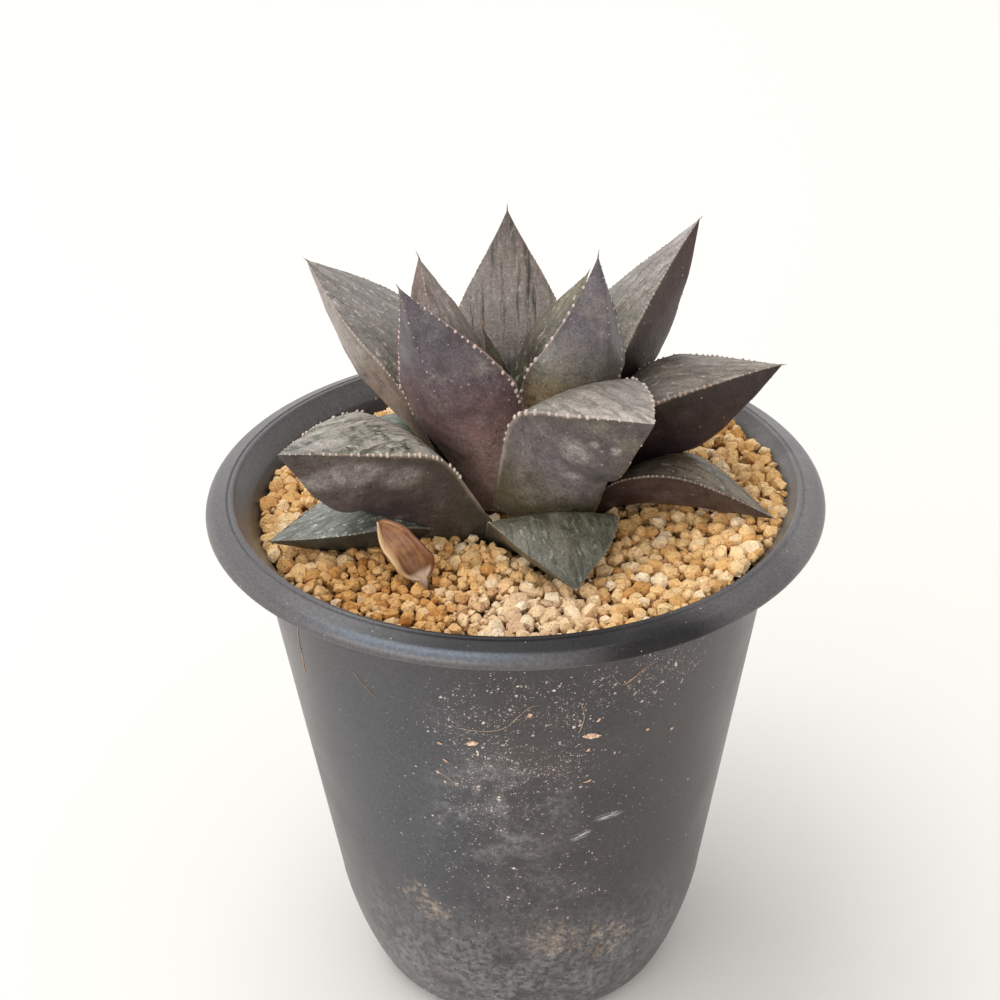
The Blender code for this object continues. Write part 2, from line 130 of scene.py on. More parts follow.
# Layers of dust, by the grains' spacing in mm and how many of them show, and the share that shows everywhere
DUST_LAYERS = [(0.28, 0.85), (0.52, 0.6), (0.95, 0.2)]
DUST_EVERYWHERE = 0.008

# What sticks to the pot's side, by degrees to the right of its front and height in mm: root fibres by the
# points that they pass, and husks with their length and width in mm and their turn
FIBRE_RADIUS = 0.045 * MM
HUSK_DEPTH = 0.16 * MM
FIBRES = [
    [(-14, 64.5), (-8.5, 64.0), (-3.0, 64.8), (-1, 66.5), (3.0, 69.4), (4.6, 69.2)],
    [(13.3, 69.0), (14.6, 66.5), (14.0, 64.2), (13.4, 63.4)],
    [(20.0, 73.0), (21.5, 70.9), (23.8, 70.4), (26.5, 72.4), (30.5, 73.2)],
    [(22.5, 70.6), (25.5, 71.4), (27.5, 72.2)],
    [(-56.0, 72.0), (-57.6, 69.4), (-57.4, 67.0), (-58.6, 62.8)],
    [(-38.0, 69.8), (-35.0, 67.6), (-33.0, 66.8)],
    [(-20.0, 55.4), (-17.5, 55.0), (-14.5, 53.0)],
    [(7.5, 57.4), (9.0, 55.6), (11.0, 55.0)],
]
HUSKS = [
    (15.0, 75.9, 3.4, 0.6, -4),
    (-10.4, 61.8, 1.6, 0.9, -12),
    (16.5, 62.2, 2.6, 0.95, 10),
    (15.8, 59.6, 0.7, 0.3, -35),
    (17.8, 65.0, 0.8, 0.3, -40),
    (2.4, 67.4, 0.9, 0.6, -30),
    (-18.0, 61.0, 0.9, 0.25, 8),
    (-17.0, 57.8, 1.1, 0.3, 35),
    (30.5, 60.5, 0.7, 0.4, 10),
    (38.0, 58.6, 0.7, 0.3, -25),
    (16.2, 53.5, 1.1, 0.25, -12),
]

# Soil: a level with a slope to the right, a mound in the middle, and a heap against the wall on the right
SOIL_LEVEL = 79.0 * MM
SOIL_SLOPE = 0.01
MOUND_HEIGHT = 1.2 * MM
MOUND_RADIUS = 30 * MM
HEAP_HEIGHT = 2.2 * MM
HEAP_START = 14 * MM
HEAP_END = 40 * MM
SOIL_RADIUS = 40
BED_HEIGHT = 77 * MM
BED_DEPTH = 2.0 * MM
# Granules by largest and smallest radius in mm and how often a place is tried, and how close they may lie
TOP_SIZES = [(1.5, 1.25, 260), (1.25, 0.95, 3500), (0.95, 0.6, 9000)]
UNDER_SIZES = [(1.4, 1.0, 3500), (1.0, 0.7, 5000)]
CRUMB_SIZES = [(0.5, 0.3, 2600)]
TOP_CROWDING = 0.78
CROWDING = 0.8
# How far in mm each layer's middles lie below the top
UNDER_DROP = 2.1
CRUMB_DROP = 0.5
# The grains are finer in a round place at the front left: its middle and radius in mm, and how fine they are
FINE_PLACE = (-15, -27, 13)
FINE_SHARE = 0.75
# Patches of the soil that are more golden and more chalky, by middle and size in mm
GOLDEN_SOIL = ((-19, -24, 79), (22, 20, 30))
CHALKY_SOIL = ((2, -30, 79), (14, 11, 30))

# The stem's place under the rosette
STEM = Vector((-1.0, 3.0, 0.0)) * MM

# Each leaf, youngest first: azimuth, rise at its base and rise at its tip in degrees, length, half width and
# depth in mm, roll and turn to the left in degrees, radius and height of its root in mm, share of its length
# where it is widest, fullness of its outline beyond there, shares of its full width and depth at its root,
# and where it bends
Leaf = namedtuple(
    "Leaf",
    "azimuth rise rise_tip length half_width depth roll turn radius height widest fullness "
    "root_width root_depth bend",
    defaults=(0.75, 0.5, (0.2, 0.8)),
)
LEAVES = {
    "leaf_heart": Leaf(-26, 100, 107, 16, 2.6, 1.9, 0, 1, 0.3, 89.9, 0.3, 1.35, 0.6),
    "leaf_inner_back": Leaf(41, 70, 51, 28, 5.7, 3.5, -4, -1, 2.2, 86.0, 0.52, 1.45, 0.6),
    "leaf_inner_left": Leaf(155, 74, 69, 32, 6.6, 6.8, -5, 11, 2.8, 85.3, 0.49, 1.17, 0.6),
    "leaf_inner_right": Leaf(-11, 60, 83, 33.5, 8.8, 5.1, -58, 26, 2.7, 86.5, 0.49, 1.09, 0.6),
    "leaf_upper_front_left": Leaf(225, 76, 61, 41.5, 9.1, 5.5, 31, -12, 3.5, 80.3, 0.52, 1.17),
    "leaf_upper_back": Leaf(87, 66, 48, 38.5, 9.1, 5.5, 0, 4, 4.0, 82.0, 0.5, 1.1),
    "leaf_upper_left": Leaf(148, 62, 32, 41, 9.7, 9.0, 8, 12, 5.0, 81.8, 0.6, 1.7),
    "leaf_upper_right": Leaf(43, 54, 40, 44.5, 8.0, 9.9, -11, -20, 4.6, 82.0, 0.47, 1.25),
    "leaf_middle_front": Leaf(
        -45, 70, 10, 40, 9.3, 12.5, -2, -17, 5.4, 83.0, 0.53, 1.39, 0.95, 0.85, (0.3, 0.65)
    ),
    "leaf_middle_right": Leaf(
        1, 52, 13, 41.5, 8.8, 11.5, -4, -19, 6.0, 81.5, 0.58, 1.13, 0.75, 0.7, (0.3, 0.7)
    ),
    "leaf_middle_left": Leaf(
        212, 58.5, 13.5, 44, 8.4, 12, -2, 19, 6.5, 78.5, 0.48, 1.35, 1.05, 0.95, (0.3, 0.6)
    ),
    "leaf_lower_back_left": Leaf(155, 37, -11, 24, 7.3, 4.6, 0, -4, 5.6, 79.7, 0.5, 1.35, bend=(0.3, 0.7)),
    "leaf_lower_back": Leaf(110, 28, -5, 29, 7.5, 5.5, -5, 0, 5.8, 79.8, 0.5, 1.35, bend=(0.3, 0.7)),
    "leaf_lower_back_right": Leaf(58, 29, -5, 29, 7.5, 5.5, 0, 0, 5.8, 80.0, 0.5, 1.35, bend=(0.3, 0.7)),
    "leaf_lower_right": Leaf(-12, 39, -22, 36, 7.6, 6.0, -12, -22, 8.5, 78.2, 0.44, 1.0),
    "leaf_lower_front": Leaf(
        -68.6, 41, -18, 28, 9.1, 7.0, -5, -14, 8.5, 77.4, 0.51, 1.36, 0.85, 0.6, (0.3, 0.7)
    ),
    "leaf_lower_left": Leaf(209, 25, -5, 32.5, 7.5, 5.9, 5, -3, 7.0, 77.0, 0.52, 1.48, bend=(0.3, 0.7)),
}
# How high the upper face is crowned in mm, and the share of its length where a leaf is deepest
CROWN = 1.2
DEEPEST = 0.55
# Rows of points along a leaf and points round it, and what each row holds: its share of the length, place,
# directions along, to the left and up, half width, depth, crown, and how sharp the keel is
ALONG = 120
AROUND = 88
Rows = namedtuple("Rows", "share place along left up width depth crown keel")
# How far apart in mm the skin's lumps, the outer side's grain and the upper face's veins and grain are
LUMP_SIZE = 4.5
OUTER_GRAIN = 1.1
VEIN_SPACING = 0.8
FACE_GRAIN = 0.7
# Leaves whose tips have no thorn; the other thorns' length in mm, how much of it is in the leaf, and their
# radius; and the thorns that have a length of their own
BLUNT = ("leaf_middle_front", "leaf_lower_front", "leaf_middle_left")
THORN = 1.1
THORN_SUNK = 0.4
THORN_RADIUS = 0.13 * MM
THORNS = {"leaf_heart": 2.6, "leaf_upper_back": 1.5, "leaf_inner_left": 1.6, "leaf_inner_right": 1.5}
# Share of its length up to which a leaf is bare of purple, where that isn't 0.38
BARE = {"leaf_upper_front_left": 0.5, "leaf_inner_right": 0.54}
# Leaves whose beads sit a little inside the margin on the outer side, and how far out on the left and right
INSIDE = {"leaf_inner_right": (1.0, 0.72), "leaf_upper_front_left": (0.965, 0.965)}
# Leaves whose skin is the least glossy
DULL = ("leaf_middle_right", "leaf_upper_right")
# Beads: where they start and end along the margins and the keel, as shares of the leaf's length, how deep
# they sit as a share of their radius, and how many tubercles a leaf has for each mm of its beads' radius
BEAD_START = 0.16
BLUNT_BEAD_START = 0.33
BEAD_END = 0.97
KEEL_BEAD_START = 0.7
KEEL_BEAD_END = 0.96
BEAD_SUNK = 0.3
TUBERCLES = 45
# How much wider than usual a leaf's beads are spaced
WIDE = {
    "leaf_middle_front": 1.5, "leaf_upper_front_left": 1.2, "leaf_inner_right": 1.4, "leaf_middle_left": 1.2,
}
# The leaf whose veins run straight and hardly join, and how far in mm veins wander there and elsewhere
STRIPED = ("leaf_upper_back",)
STRIPE_WANDER = (0.5, 1.0, 0.0)
VEIN_WANDER = (1.3, 2.6, 0.0)
# Red, green and blue together of an outer side that is pale enough to show its bloom in full
PALE_BACK = 0.24
# Rubbed places and painted highlights on the leaves' outer sides, by their middle and size in mm
SCUFFS_AND_SHEEN = {
    "leaf_middle_front": [
        ((8.3, -16.7, 97.2), (3.2, 4, 3.2)), ((7.9, -13.7, 91.9), (2.4, 3, 1.0)),
        ((10.8, -18.4, 99.2), (1.0, 2, 0.9)), ((13.7, -19.4, 98.6), (1.1, 2, 1.4)),
    ],
    "leaf_upper_front_left": [((-2.0, -5.4, 88.7), (0.9, 2, 3.6))],
    "leaf_middle_left": [((-23.5, -18.9, 95.0), (9, 7, 3)), ((-15.6, -15.4, 92.8), (4, 4, 3))],
    "leaf_inner_right": [((4.5, -2.4, 106.2), (1.7, 3, 3.8))],
}

# Each leaf's colours: its outer side at the root, middle and tip; its upper face at the root, middle and tip;
# the dark lines and pale flecks of that face; how strong both are; its beads, and their size in mm
Look = namedtuple("Look", "root back back_tip face_root face face_tip line fleck lines flecks bead bead_size")
LOOKS = {
    "leaf_heart": Look(
        "34341e", "373420", "3f3725", "2e2e1a", "393523", "3f3725",
        "252011", "9f865e", 0.3, 0.2, "493d26", 0.08,
    ),
    "leaf_inner_back": Look(
        "444431", "625950", "6d5e57", "424431", "635a50", "706a5a",
        "373825", "a8a290", 0.6, 0.8, "a3927f", 0.11,
    ),
    "leaf_inner_left": Look(
        "6e5f48", "75685f", "72635e", "443f2e", "786e65", "8b7e77",
        "4b4237", "b3a8a1", 0.6, 0.6, "b49e94", 0.14,
    ),
    "leaf_inner_right": Look(
        "c2a46f", "605b54", "544c52", "42402e", "5c564f", "615a5a",
        "373432", "a69d9b", 0.3, 0.4, "baa79e", 0.25,
    ),
    "leaf_upper_front_left": Look(
        "ac8c80", "5e4b4e", "50494e", "42392a", "635a53", "716765",
        "3d3434", "a69b96", 0.4, 0.4, "bc9e94", 0.27,
    ),
    "leaf_upper_back": Look(
        "615640", "61584f", "544946", "353923", "8e847c", "5c4f48",
        "312b23", "9a9289", 1.08, 0.5, "9f8d7f", 0.12,
    ),
    "leaf_upper_left": Look(
        "7d614f", "7a6a63", "867d77", "484834", "827a75", "7b736e",
        "484839", "aaa39b", 0.7, 0.9, "b19d90", 0.14,
    ),
    "leaf_upper_right": Look(
        "2f1b14", "211310", "3d2a27", "3f3d29", "777165", "8f8785",
        "444234", "aea69f", 0.7, 0.5, "ad998d", 0.15,
    ),
    "leaf_middle_front": Look(
        "5e543f", "6f696b", "544f4e", "424032", "716a61", "a79c94",
        "444237", "a69f98", 0.7, 0.5, "baa79c", 0.29,
    ),
    "leaf_middle_right": Look(
        "1c1411", "1b1212", "352928", "323025", "463e37", "84796e",
        "343429", "988f86", 0.7, 0.6, "a38a7c", 0.2,
    ),
    "leaf_middle_left": Look(
        "484037", "453c3d", "564f4f", "393b29", "a0998e", "8d867e",
        "373927", "a8a59d", 1.0, 0.9, "bda997", 0.25,
    ),
    "leaf_lower_back_left": Look(
        "424939", "515a4d", "5a6156", "424939", "636e5e", "6a7265",
        "374030", "989f91", 0.5, 0.5, "9f9686", 0.13,
    ),
    "leaf_lower_back": Look(
        "424839", "44483f", "51534b", "444b39", "5c6356", "686e63",
        "393f34", "919489", 0.6, 0.5, "9f9284", 0.13,
    ),
    "leaf_lower_back_right": Look(
        "424839", "42423d", "4f4d48", "444b39", "5e6156", "6a6c63",
        "393d32", "919489", 0.6, 0.5, "9f9284", 0.13,
    ),
    "leaf_lower_right": Look(
        "271c1c", "403031", "4b3e39", "27251c", "65594a", "6e6555",
        "27231c", "9a9286", 0.8, 0.6, "948173", 0.13,
    ),
    "leaf_lower_front": Look(
        "2e3027", "4d4b42", "545148", "323425", "5d5a4a", "545145",
        "23271a", "8d8b7b", 0.8, 0.6, "7b7366", 0.1,
    ),
    "leaf_lower_left": Look(
        "212521", "2a2e2a", "3d403b", "2e322a", "6e716a", "6e6e67",
        "373d32", "aeb0a8", 0.8, 0.9, "8a8579", 0.11,
    ),
}


# The kinds of node that the materials are made of: Blender's name for each, and its settings
COORDINATES = "TexCoord", {}
LEAF_PLACE = "Attribute", {"attribute_name": "leaf_place"}
LEAF_SPAN = "Attribute", {"attribute_name": "leaf_mm"}
GRANULE_TONE = "Attribute", {"attribute_name": "granule_tone"}
STRIP_PLACE = "Attribute", {"attribute_name": "strip_place"}
MAPPING = "Mapping", {}
PARTS = "SeparateXYZ", {}
NOISE = "TexNoise", {}
CELLS = "TexVoronoi", {}
NET = "TexVoronoi", {"feature": "DISTANCE_TO_EDGE"}
RAMP = "ValToRGB", {}
MIX = "Mix", {"data_type": "RGBA"}
TINT = "Mix", {"data_type": "RGBA", "blend_type": "MULTIPLY"}
RANGE = "MapRange", {}
STEP = "MapRange", {"interpolation_type": "SMOOTHSTEP"}
PLUS = "Math", {"operation": "ADD"}
MINUS = "Math", {"operation": "SUBTRACT"}
TIMES = "Math", {"operation": "MULTIPLY"}
TIMES_PLUS = "Math", {"operation": "MULTIPLY_ADD"}
MOST = "Math", {"operation": "MAXIMUM"}
UNSIGNED = "Math", {"operation": "ABSOLUTE"}
ABOVE = "Math", {"operation": "GREATER_THAN"}
BELOW = "Math", {"operation": "LESS_THAN"}
SHIFT = "VectorMath", {"operation": "ADD"}
STRETCH = "VectorMath", {"operation": "MULTIPLY"}
LENGTH = "VectorMath", {"operation": "LENGTH"}
BUMP = "Bump", {}


def linear(hex_colour):
    """An sRGB hex colour as linear red, green and blue."""
    channels = [int(hex_colour[i:i + 2], 16) / 255 for i in (0, 2, 4)]
    return [c / 12.92 if c <= 0.04045 else ((c + 0.055) / 1.055) ** 2.4 for c in channels]


def plug(made, sockets):
    """Sets a node's sockets. A value is a number, a vector, a hex colour or another node's output."""
    for name, value in sockets.items():
        socket = made.inputs[name]
        if isinstance(value, bpy.types.NodeSocket):
            made.id_data.links.new(value, socket)
        elif isinstance(value, str):
            socket.default_value = (*linear(value), 1.0)
        else:
            socket.default_value = value


def add(tree, kind, *values, output=None, stops=(), **named):
    """Adds a node and gives one of its outputs, the first if none is named.

    Values go to its sockets in order, named values to the sockets of those names, and stops to its ramp.
    """
    blender_name, settings = kind
    made = tree.nodes.new("ShaderNode" + blender_name)
    for name, value in settings.items():
        setattr(made, name, value)
    in_use = [index for index, socket in enumerate(made.inputs) if socket.enabled]
    plug(made, dict(zip(in_use, values)))
    plug(made, {name.capitalize(): value for name, value in named.items()})
    if stops:
        ramp = made.color_ramp
        while len(ramp.elements) < len(stops):
            ramp.elements.new(0.5)
        for element, (place, colour) in zip(ramp.elements, stops):
            element.position = place
            element.color = (*linear(colour), 1.0)
    return made.outputs[output] if output else next(socket for socket in made.outputs if socket.enabled)


def new_material(name):
    """A material, the function that adds a node to it, the place on the object in metres, and its shader."""
    made = bpy.data.materials.new(name)
    made.use_nodes = True
    node = partial(add, made.node_tree)
    return made, node, node(COORDINATES, output="Object"), made.node_tree.nodes["Principled BSDF"]


def patches(node, body, places):
    """1 in the middle of any of these places on the object, and 0 past their size. Both are in mm."""
    found = None
    for middle, size in places:
        offset = [-m / s for m, s in zip(middle, size)]
        placed = node(MAPPING, body, location=offset, scale=[1000 / s for s in size])
        patch = node(STEP, node(LENGTH, placed), 1.0, 0.3)
        found = patch if found is None else node(MOST, found, patch)
    return found


def smooth(share):
    """0 up to 0, 1 from 1 on, and a smooth step between."""
    share = np.clip(share, 0, 1)
    return share * share * (3 - 2 * share)


def select_only(*objects):
    """Selects these objects and nothing else. The first is the active one."""
    bpy.ops.object.select_all(action="DESELECT")
    for obj in objects:
        obj.select_set(True)
    bpy.context.view_layer.objects.active = objects[0]


def join(name, *objects):
    """Makes one object of several."""
    select_only(*objects)
    if len(objects) > 1:
        bpy.ops.object.join()
    obj = bpy.context.view_layer.objects.active
    obj.name = name
    obj.data.name = name
    return obj


def mesh_object(name, points, faces, material=None):
    """A mesh object in the scene, from its points in metres and its faces."""
    mesh = bpy.data.meshes.new(name)
    mesh.from_pydata([tuple(p) for p in points], [], faces)
    mesh.update()
    obj = bpy.data.objects.new(name, mesh)
    bpy.context.scene.collection.objects.link(obj)
    if material:
        mesh.materials.append(material)
    return obj


# The leaves


def leaf_rows(leaf):
    """A leaf's rows, in mm."""
    share = np.linspace(0, 1, ALONG + 1)
    bent = smooth((share - leaf.bend[0]) / (leaf.bend[1] - leaf.bend[0]))
    rise = np.radians(leaf.rise + (leaf.rise_tip - leaf.rise) * bent)
    azimuth = np.radians(leaf.azimuth + leaf.turn * share)
    nothing = np.zeros_like(share)
    out = np.stack([np.cos(azimuth), np.sin(azimuth), nothing], 1)
    side = np.stack([-np.sin(azimuth), np.cos(azimuth), nothing], 1)
    above = np.array([0, 0, 1.0])
    along = out * np.cos(rise)[:, None] + above * np.sin(rise)[:, None]
    place = np.zeros((ALONG + 1, 3))
    place[0] = (STEM.x / MM, STEM.y / MM, leaf.height)
    place[0] += out[0] * leaf.radius
    place[1:] = place[0] + np.cumsum(0.5 * (along[1:] + along[:-1]), axis=0) * leaf.length / ALONG
    lean = np.radians(leaf.rise + (leaf.rise_tip - leaf.rise) * smooth(share))
    up = above * np.cos(lean)[:, None] - out * np.sin(lean)[:, None]
    roll = (np.radians(leaf.roll) * smooth(share / 0.4))[:, None]
    left = side * np.cos(roll) + up * np.sin(roll)
    up = up * np.cos(roll) - side * np.sin(roll)
    past = np.clip((share - leaf.widest) / (1 - leaf.widest), 0, 1)
    tip_pinch = 0.0 if leaf.length < 20 else 0.03
    narrowing = 1 - past**leaf.fullness + tip_pinch * np.sin(2 * np.pi * past) * past
    widening = leaf.root_width + (1 - leaf.root_width) * smooth(share / leaf.widest)
    width = leaf.half_width * np.where(share < leaf.widest, widening, narrowing)
    tapering = 1 - np.clip((share - DEEPEST) / (1 - DEEPEST), 0, 1) ** 1.6
    deepening = leaf.root_depth + (1 - leaf.root_depth) * smooth(share / DEEPEST)
    depth = leaf.depth * np.where(share < DEEPEST, deepening, tapering)
    swell = smooth((share - 0.25) / 0.3) * (1 - smooth((share - 0.6) / 0.4))
    crown = CROWN * (swell - 0.6 * (1 - smooth(share / 0.4)))
    keel = 2.0 - 0.7 * smooth((share - 0.3) / 0.6)
    return Rows(share, place, along, left, up, width, depth, crown, keel)


def leaf_surface(rows, x, lower):
    """The surface's points in mm at each row and at each place across it."""
    rise = rows.crown[:, None] * (1 - x**2)
    drop = rows.depth[:, None] * (1 - np.abs(x) ** rows.keel[:, None])
    height = np.where(lower, -drop, rise)
    across = rows.width[:, None] * x
    outward = rows.left[:, None, :] * across[:, :, None] + rows.up[:, None, :] * height[:, :, None]
    return rows.place[:, None, :] + outward


def bumps(place):
    """Noise at a place, between -1 and 1."""
    return noise.noise(Vector(place))


def leaf_relief(points, normals, x, lower, rows, seed):
    """Lumps and lengthwise veins raised on the skin, in mm. They fade out at the tip."""
    lift = np.zeros(points.shape[:2])
    for row, share in enumerate(rows.share):
        fade = min(1.0, (1 - share) * 8)
        for column, spot in enumerate(points[row]):
            lump = bumps(spot / LUMP_SIZE + (seed, 0, 0))
            if lower[column]:
                grain = bumps(spot / OUTER_GRAIN + (0, seed, 0))
                lift[row, column] = fade * (0.20 * lump + 0.035 * grain)
            else:
                vein = bumps((x[column] * rows.width[row] / VEIN_SPACING, share * 4 + seed, 3.3))
                grain = bumps(spot / FACE_GRAIN + (0, seed, 0))
                lift[row, column] = fade * (0.16 * lump + 0.07 * vein + 0.03 * grain)
    return points + normals * lift[:, :, None]


def outward_normals(points):
    """The directions out of a leaf's skin at its points."""
    normals = np.cross(np.gradient(points, axis=1), np.gradient(points, axis=0))
    normals /= np.maximum(np.linalg.norm(normals, axis=2, keepdims=True), 1e-9)
    middle = points.mean(axis=1, keepdims=True)
    return -normals if np.sum((points - middle) * normals) < 0 else normals


def make_bead():
    """One bead of the leaf margins, modelled once. It points along +Z."""
    bpy.ops.mesh.primitive_uv_sphere_add(segments=8, ring_count=5, radius=1.0)
    bead = bpy.context.object
    points = np.array([v.co for v in bead.data.vertices])
    faces = [tuple(p.vertices) for p in bead.data.polygons]
    points[:, 2] *= np.where(points[:, 2] > 0, 1.25, 0.8)
    bpy.data.objects.remove(bead, do_unlink=True)
    return points, faces


def copies(name, shape, matrices, material):
    """A shape's copies as one mesh object."""
    points, faces = shape
    all_points = []
    all_faces = []
    for index, matrix in enumerate(matrices):
        turn = np.array(matrix.to_3x3())
        all_points.append(points @ turn.T + np.array(matrix.translation))
        start = index * len(points)
        all_faces += [tuple(start + i for i in face) for face in faces]
    obj = mesh_object(name, np.concatenate(all_points), all_faces, material)
    obj.data.shade_smooth()
    return obj


def bead_places(name, rows, draw):
    """Beads along both margins and the keel's end, and small tubercles beside the margins."""
    leaf = LEAVES[name]
    size = LOOKS[name].bead_size
    found = []

    def at(share, x, lower):
        """A place on the skin, between two rows, and the first of those rows."""
        row = min(int(share * ALONG), ALONG - 1)
        part = share * ALONG - row
        both = Rows(*(values[row:row + 2] for values in rows))
        spot = leaf_surface(both, np.array([x]), np.array([lower]))[:, 0]
        return spot[0] * (1 - part) + spot[1] * part, row

    def bead(share, x, lower, lean, radius):
        """One bead. It leans by these shares to the left, up and along the leaf."""
        spot, row = at(share, x, lower)
        direction = rows.left[row] * lean[0] + rows.up[row] * lean[1] + rows.along[row] * lean[2]
        direction = Vector(direction).normalized()
        turn = direction.to_track_quat("Z", "Y").to_matrix().to_4x4()
        wide, flat = radius * draw.uniform(1.0, 1.6), radius * draw.uniform(0.6, 1.0)
        stretch = Matrix.Diagonal((radius * MM, wide * MM, flat * MM, 1.0))
        spot = Vector(spot) - direction * radius * BEAD_SUNK
        found.append(Matrix.Translation(spot * MM) @ turn @ stretch)

    for edge in (-1, 1):
        travelled = leaf.length * (BLUNT_BEAD_START if name in BLUNT else BEAD_START)
        across = INSIDE.get(name, (1.0, 1.0))[1 if rows.left[ALONG // 2][0] * edge > 0 else 0]
        while travelled < leaf.length * BEAD_END:
            share = travelled / leaf.length
            # Beads grow over the first part of the leaf and shrink towards its tip
            radius = size * draw.uniform(0.7, 1.3) * (0.4 + 0.6 * float(smooth(share / 0.45)))
            radius *= 1 - 0.55 * float(smooth((share - 0.75) / 0.25))
            if draw.random() < 0.9:
                if across < 1:
                    bead(share, edge * across, True, (edge * 0.5, -0.8, 0.0), radius)
                else:
                    bead(share, edge, False, (edge, 0.0, 0.4), radius)
            travelled += draw.uniform(0.75, 1.25) * (0.5 + 1.5 * size) * WIDE.get(name, 1.0)
    travelled = leaf.length * KEEL_BEAD_START
    while travelled < leaf.length * KEEL_BEAD_END:
        radius = size * draw.uniform(0.35, 0.6)
        if draw.random() < 0.7:
            bead(travelled / leaf.length, 0, True, (0.0, -1.0, 0.4), radius)
        travelled += draw.uniform(1.3, 2.4)
    for _ in range(int(TUBERCLES * size)):
        share = draw.uniform(0.4, 0.93)
        x = draw.choice((-1, 1)) * (1 - draw.random() ** 2 * 0.5)
        bead(share, x, True, (x * 0.6, -0.7, 0.0), size * draw.uniform(0.2, 0.4))
    return found


def tip_thorn(name, rows):
    """The short dry thorn that ends a leaf."""
    tip, ahead = Vector(rows.place[-1]), Vector(rows.along[-1])
    length = THORNS.get(name, THORN)
    bpy.ops.mesh.primitive_cone_add(vertices=8, radius1=THORN_RADIUS, radius2=0.02 * MM, depth=length * MM)
    thorn = bpy.context.object
    turn = ahead.to_track_quat("Z", "Y").to_matrix().to_4x4()
    start = tip + ahead * (length / 2 - THORN_SUNK)
    thorn.data.transform(Matrix.Translation(start * MM) @ turn)
    thorn.data.materials.append(dry_thorn(name))
    thorn.data.shade_smooth()
    return thorn


def make_leaf(name, bead_shape, index):
    """A leaf's finer skin, with its beads and its thorn, in place of the leaf's solid."""
    leaf = LEAVES[name]
    rows = leaf_rows(leaf)
    bpy.ops.mesh.primitive_grid_add(x_subdivisions=AROUND, y_subdivisions=ALONG, size=2.0)
    skin = bpy.context.object
    around = np.arange(AROUND + 1) / AROUND
    x = -np.cos(2 * np.pi * around)
    lower = around > 0.5
    points = leaf_surface(rows, x, lower)
    points = leaf_relief(points, outward_normals(points), x, lower, rows, index * 7.1)
    points[:, -1] = points[:, 0]
    skin.data.vertices.foreach_set("co", (points * MM).reshape(-1))
    shape = (ALONG + 1, AROUND + 1)
    share = np.broadcast_to(rows.share[:, None], shape)
    across = np.broadcast_to(x[None, :], shape)
    under = np.broadcast_to(lower[None, :].astype(float), shape)
    # Where each point is, by share and in mm, for the skin's patterns. Each leaf has its own stretch of them
    for attribute, values in (
        ("leaf_place", [across, share, under]),
        ("leaf_mm", [across * rows.width[:, None], share * leaf.length, np.full(shape, index * 100.0)]),
    ):
        made = skin.data.attributes.new(attribute, "FLOAT_VECTOR", "POINT")
        made.data.foreach_set("vector", np.stack(values, 2).reshape(-1))
    close_skin(skin)
    skin.data.materials.append(leaf_skin(name))
    places = bead_places(name, rows, random.Random(100 + index))
    pieces = [skin, copies(name + "_beads", bead_shape, places, leaf_bead(name))]
    if name not in BLUNT:
        pieces.append(tip_thorn(name, rows))
    leaf_piece = join(name + "_skin", *pieces)
    leaf_piece.data.shade_smooth()
    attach(leaf_piece, "root")
    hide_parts(name)


def close_skin(skin):
    """Closes the seam along one margin, the tip and the base of a leaf's skin."""
    select_only(skin)
    bpy.ops.object.mode_set(mode="EDIT")
    bpy.ops.mesh.select_all(action="SELECT")
    bpy.ops.mesh.remove_doubles(threshold=MERGE)
    bpy.ops.mesh.select_all(action="DESELECT")
    bpy.ops.mesh.select_non_manifold(extend=False, use_boundary=True)
    bpy.ops.mesh.edge_face_add()
    bpy.ops.mesh.select_all(action="SELECT")
    bpy.ops.mesh.normals_make_consistent(inside=False)
    bpy.ops.object.mode_set(mode="OBJECT")


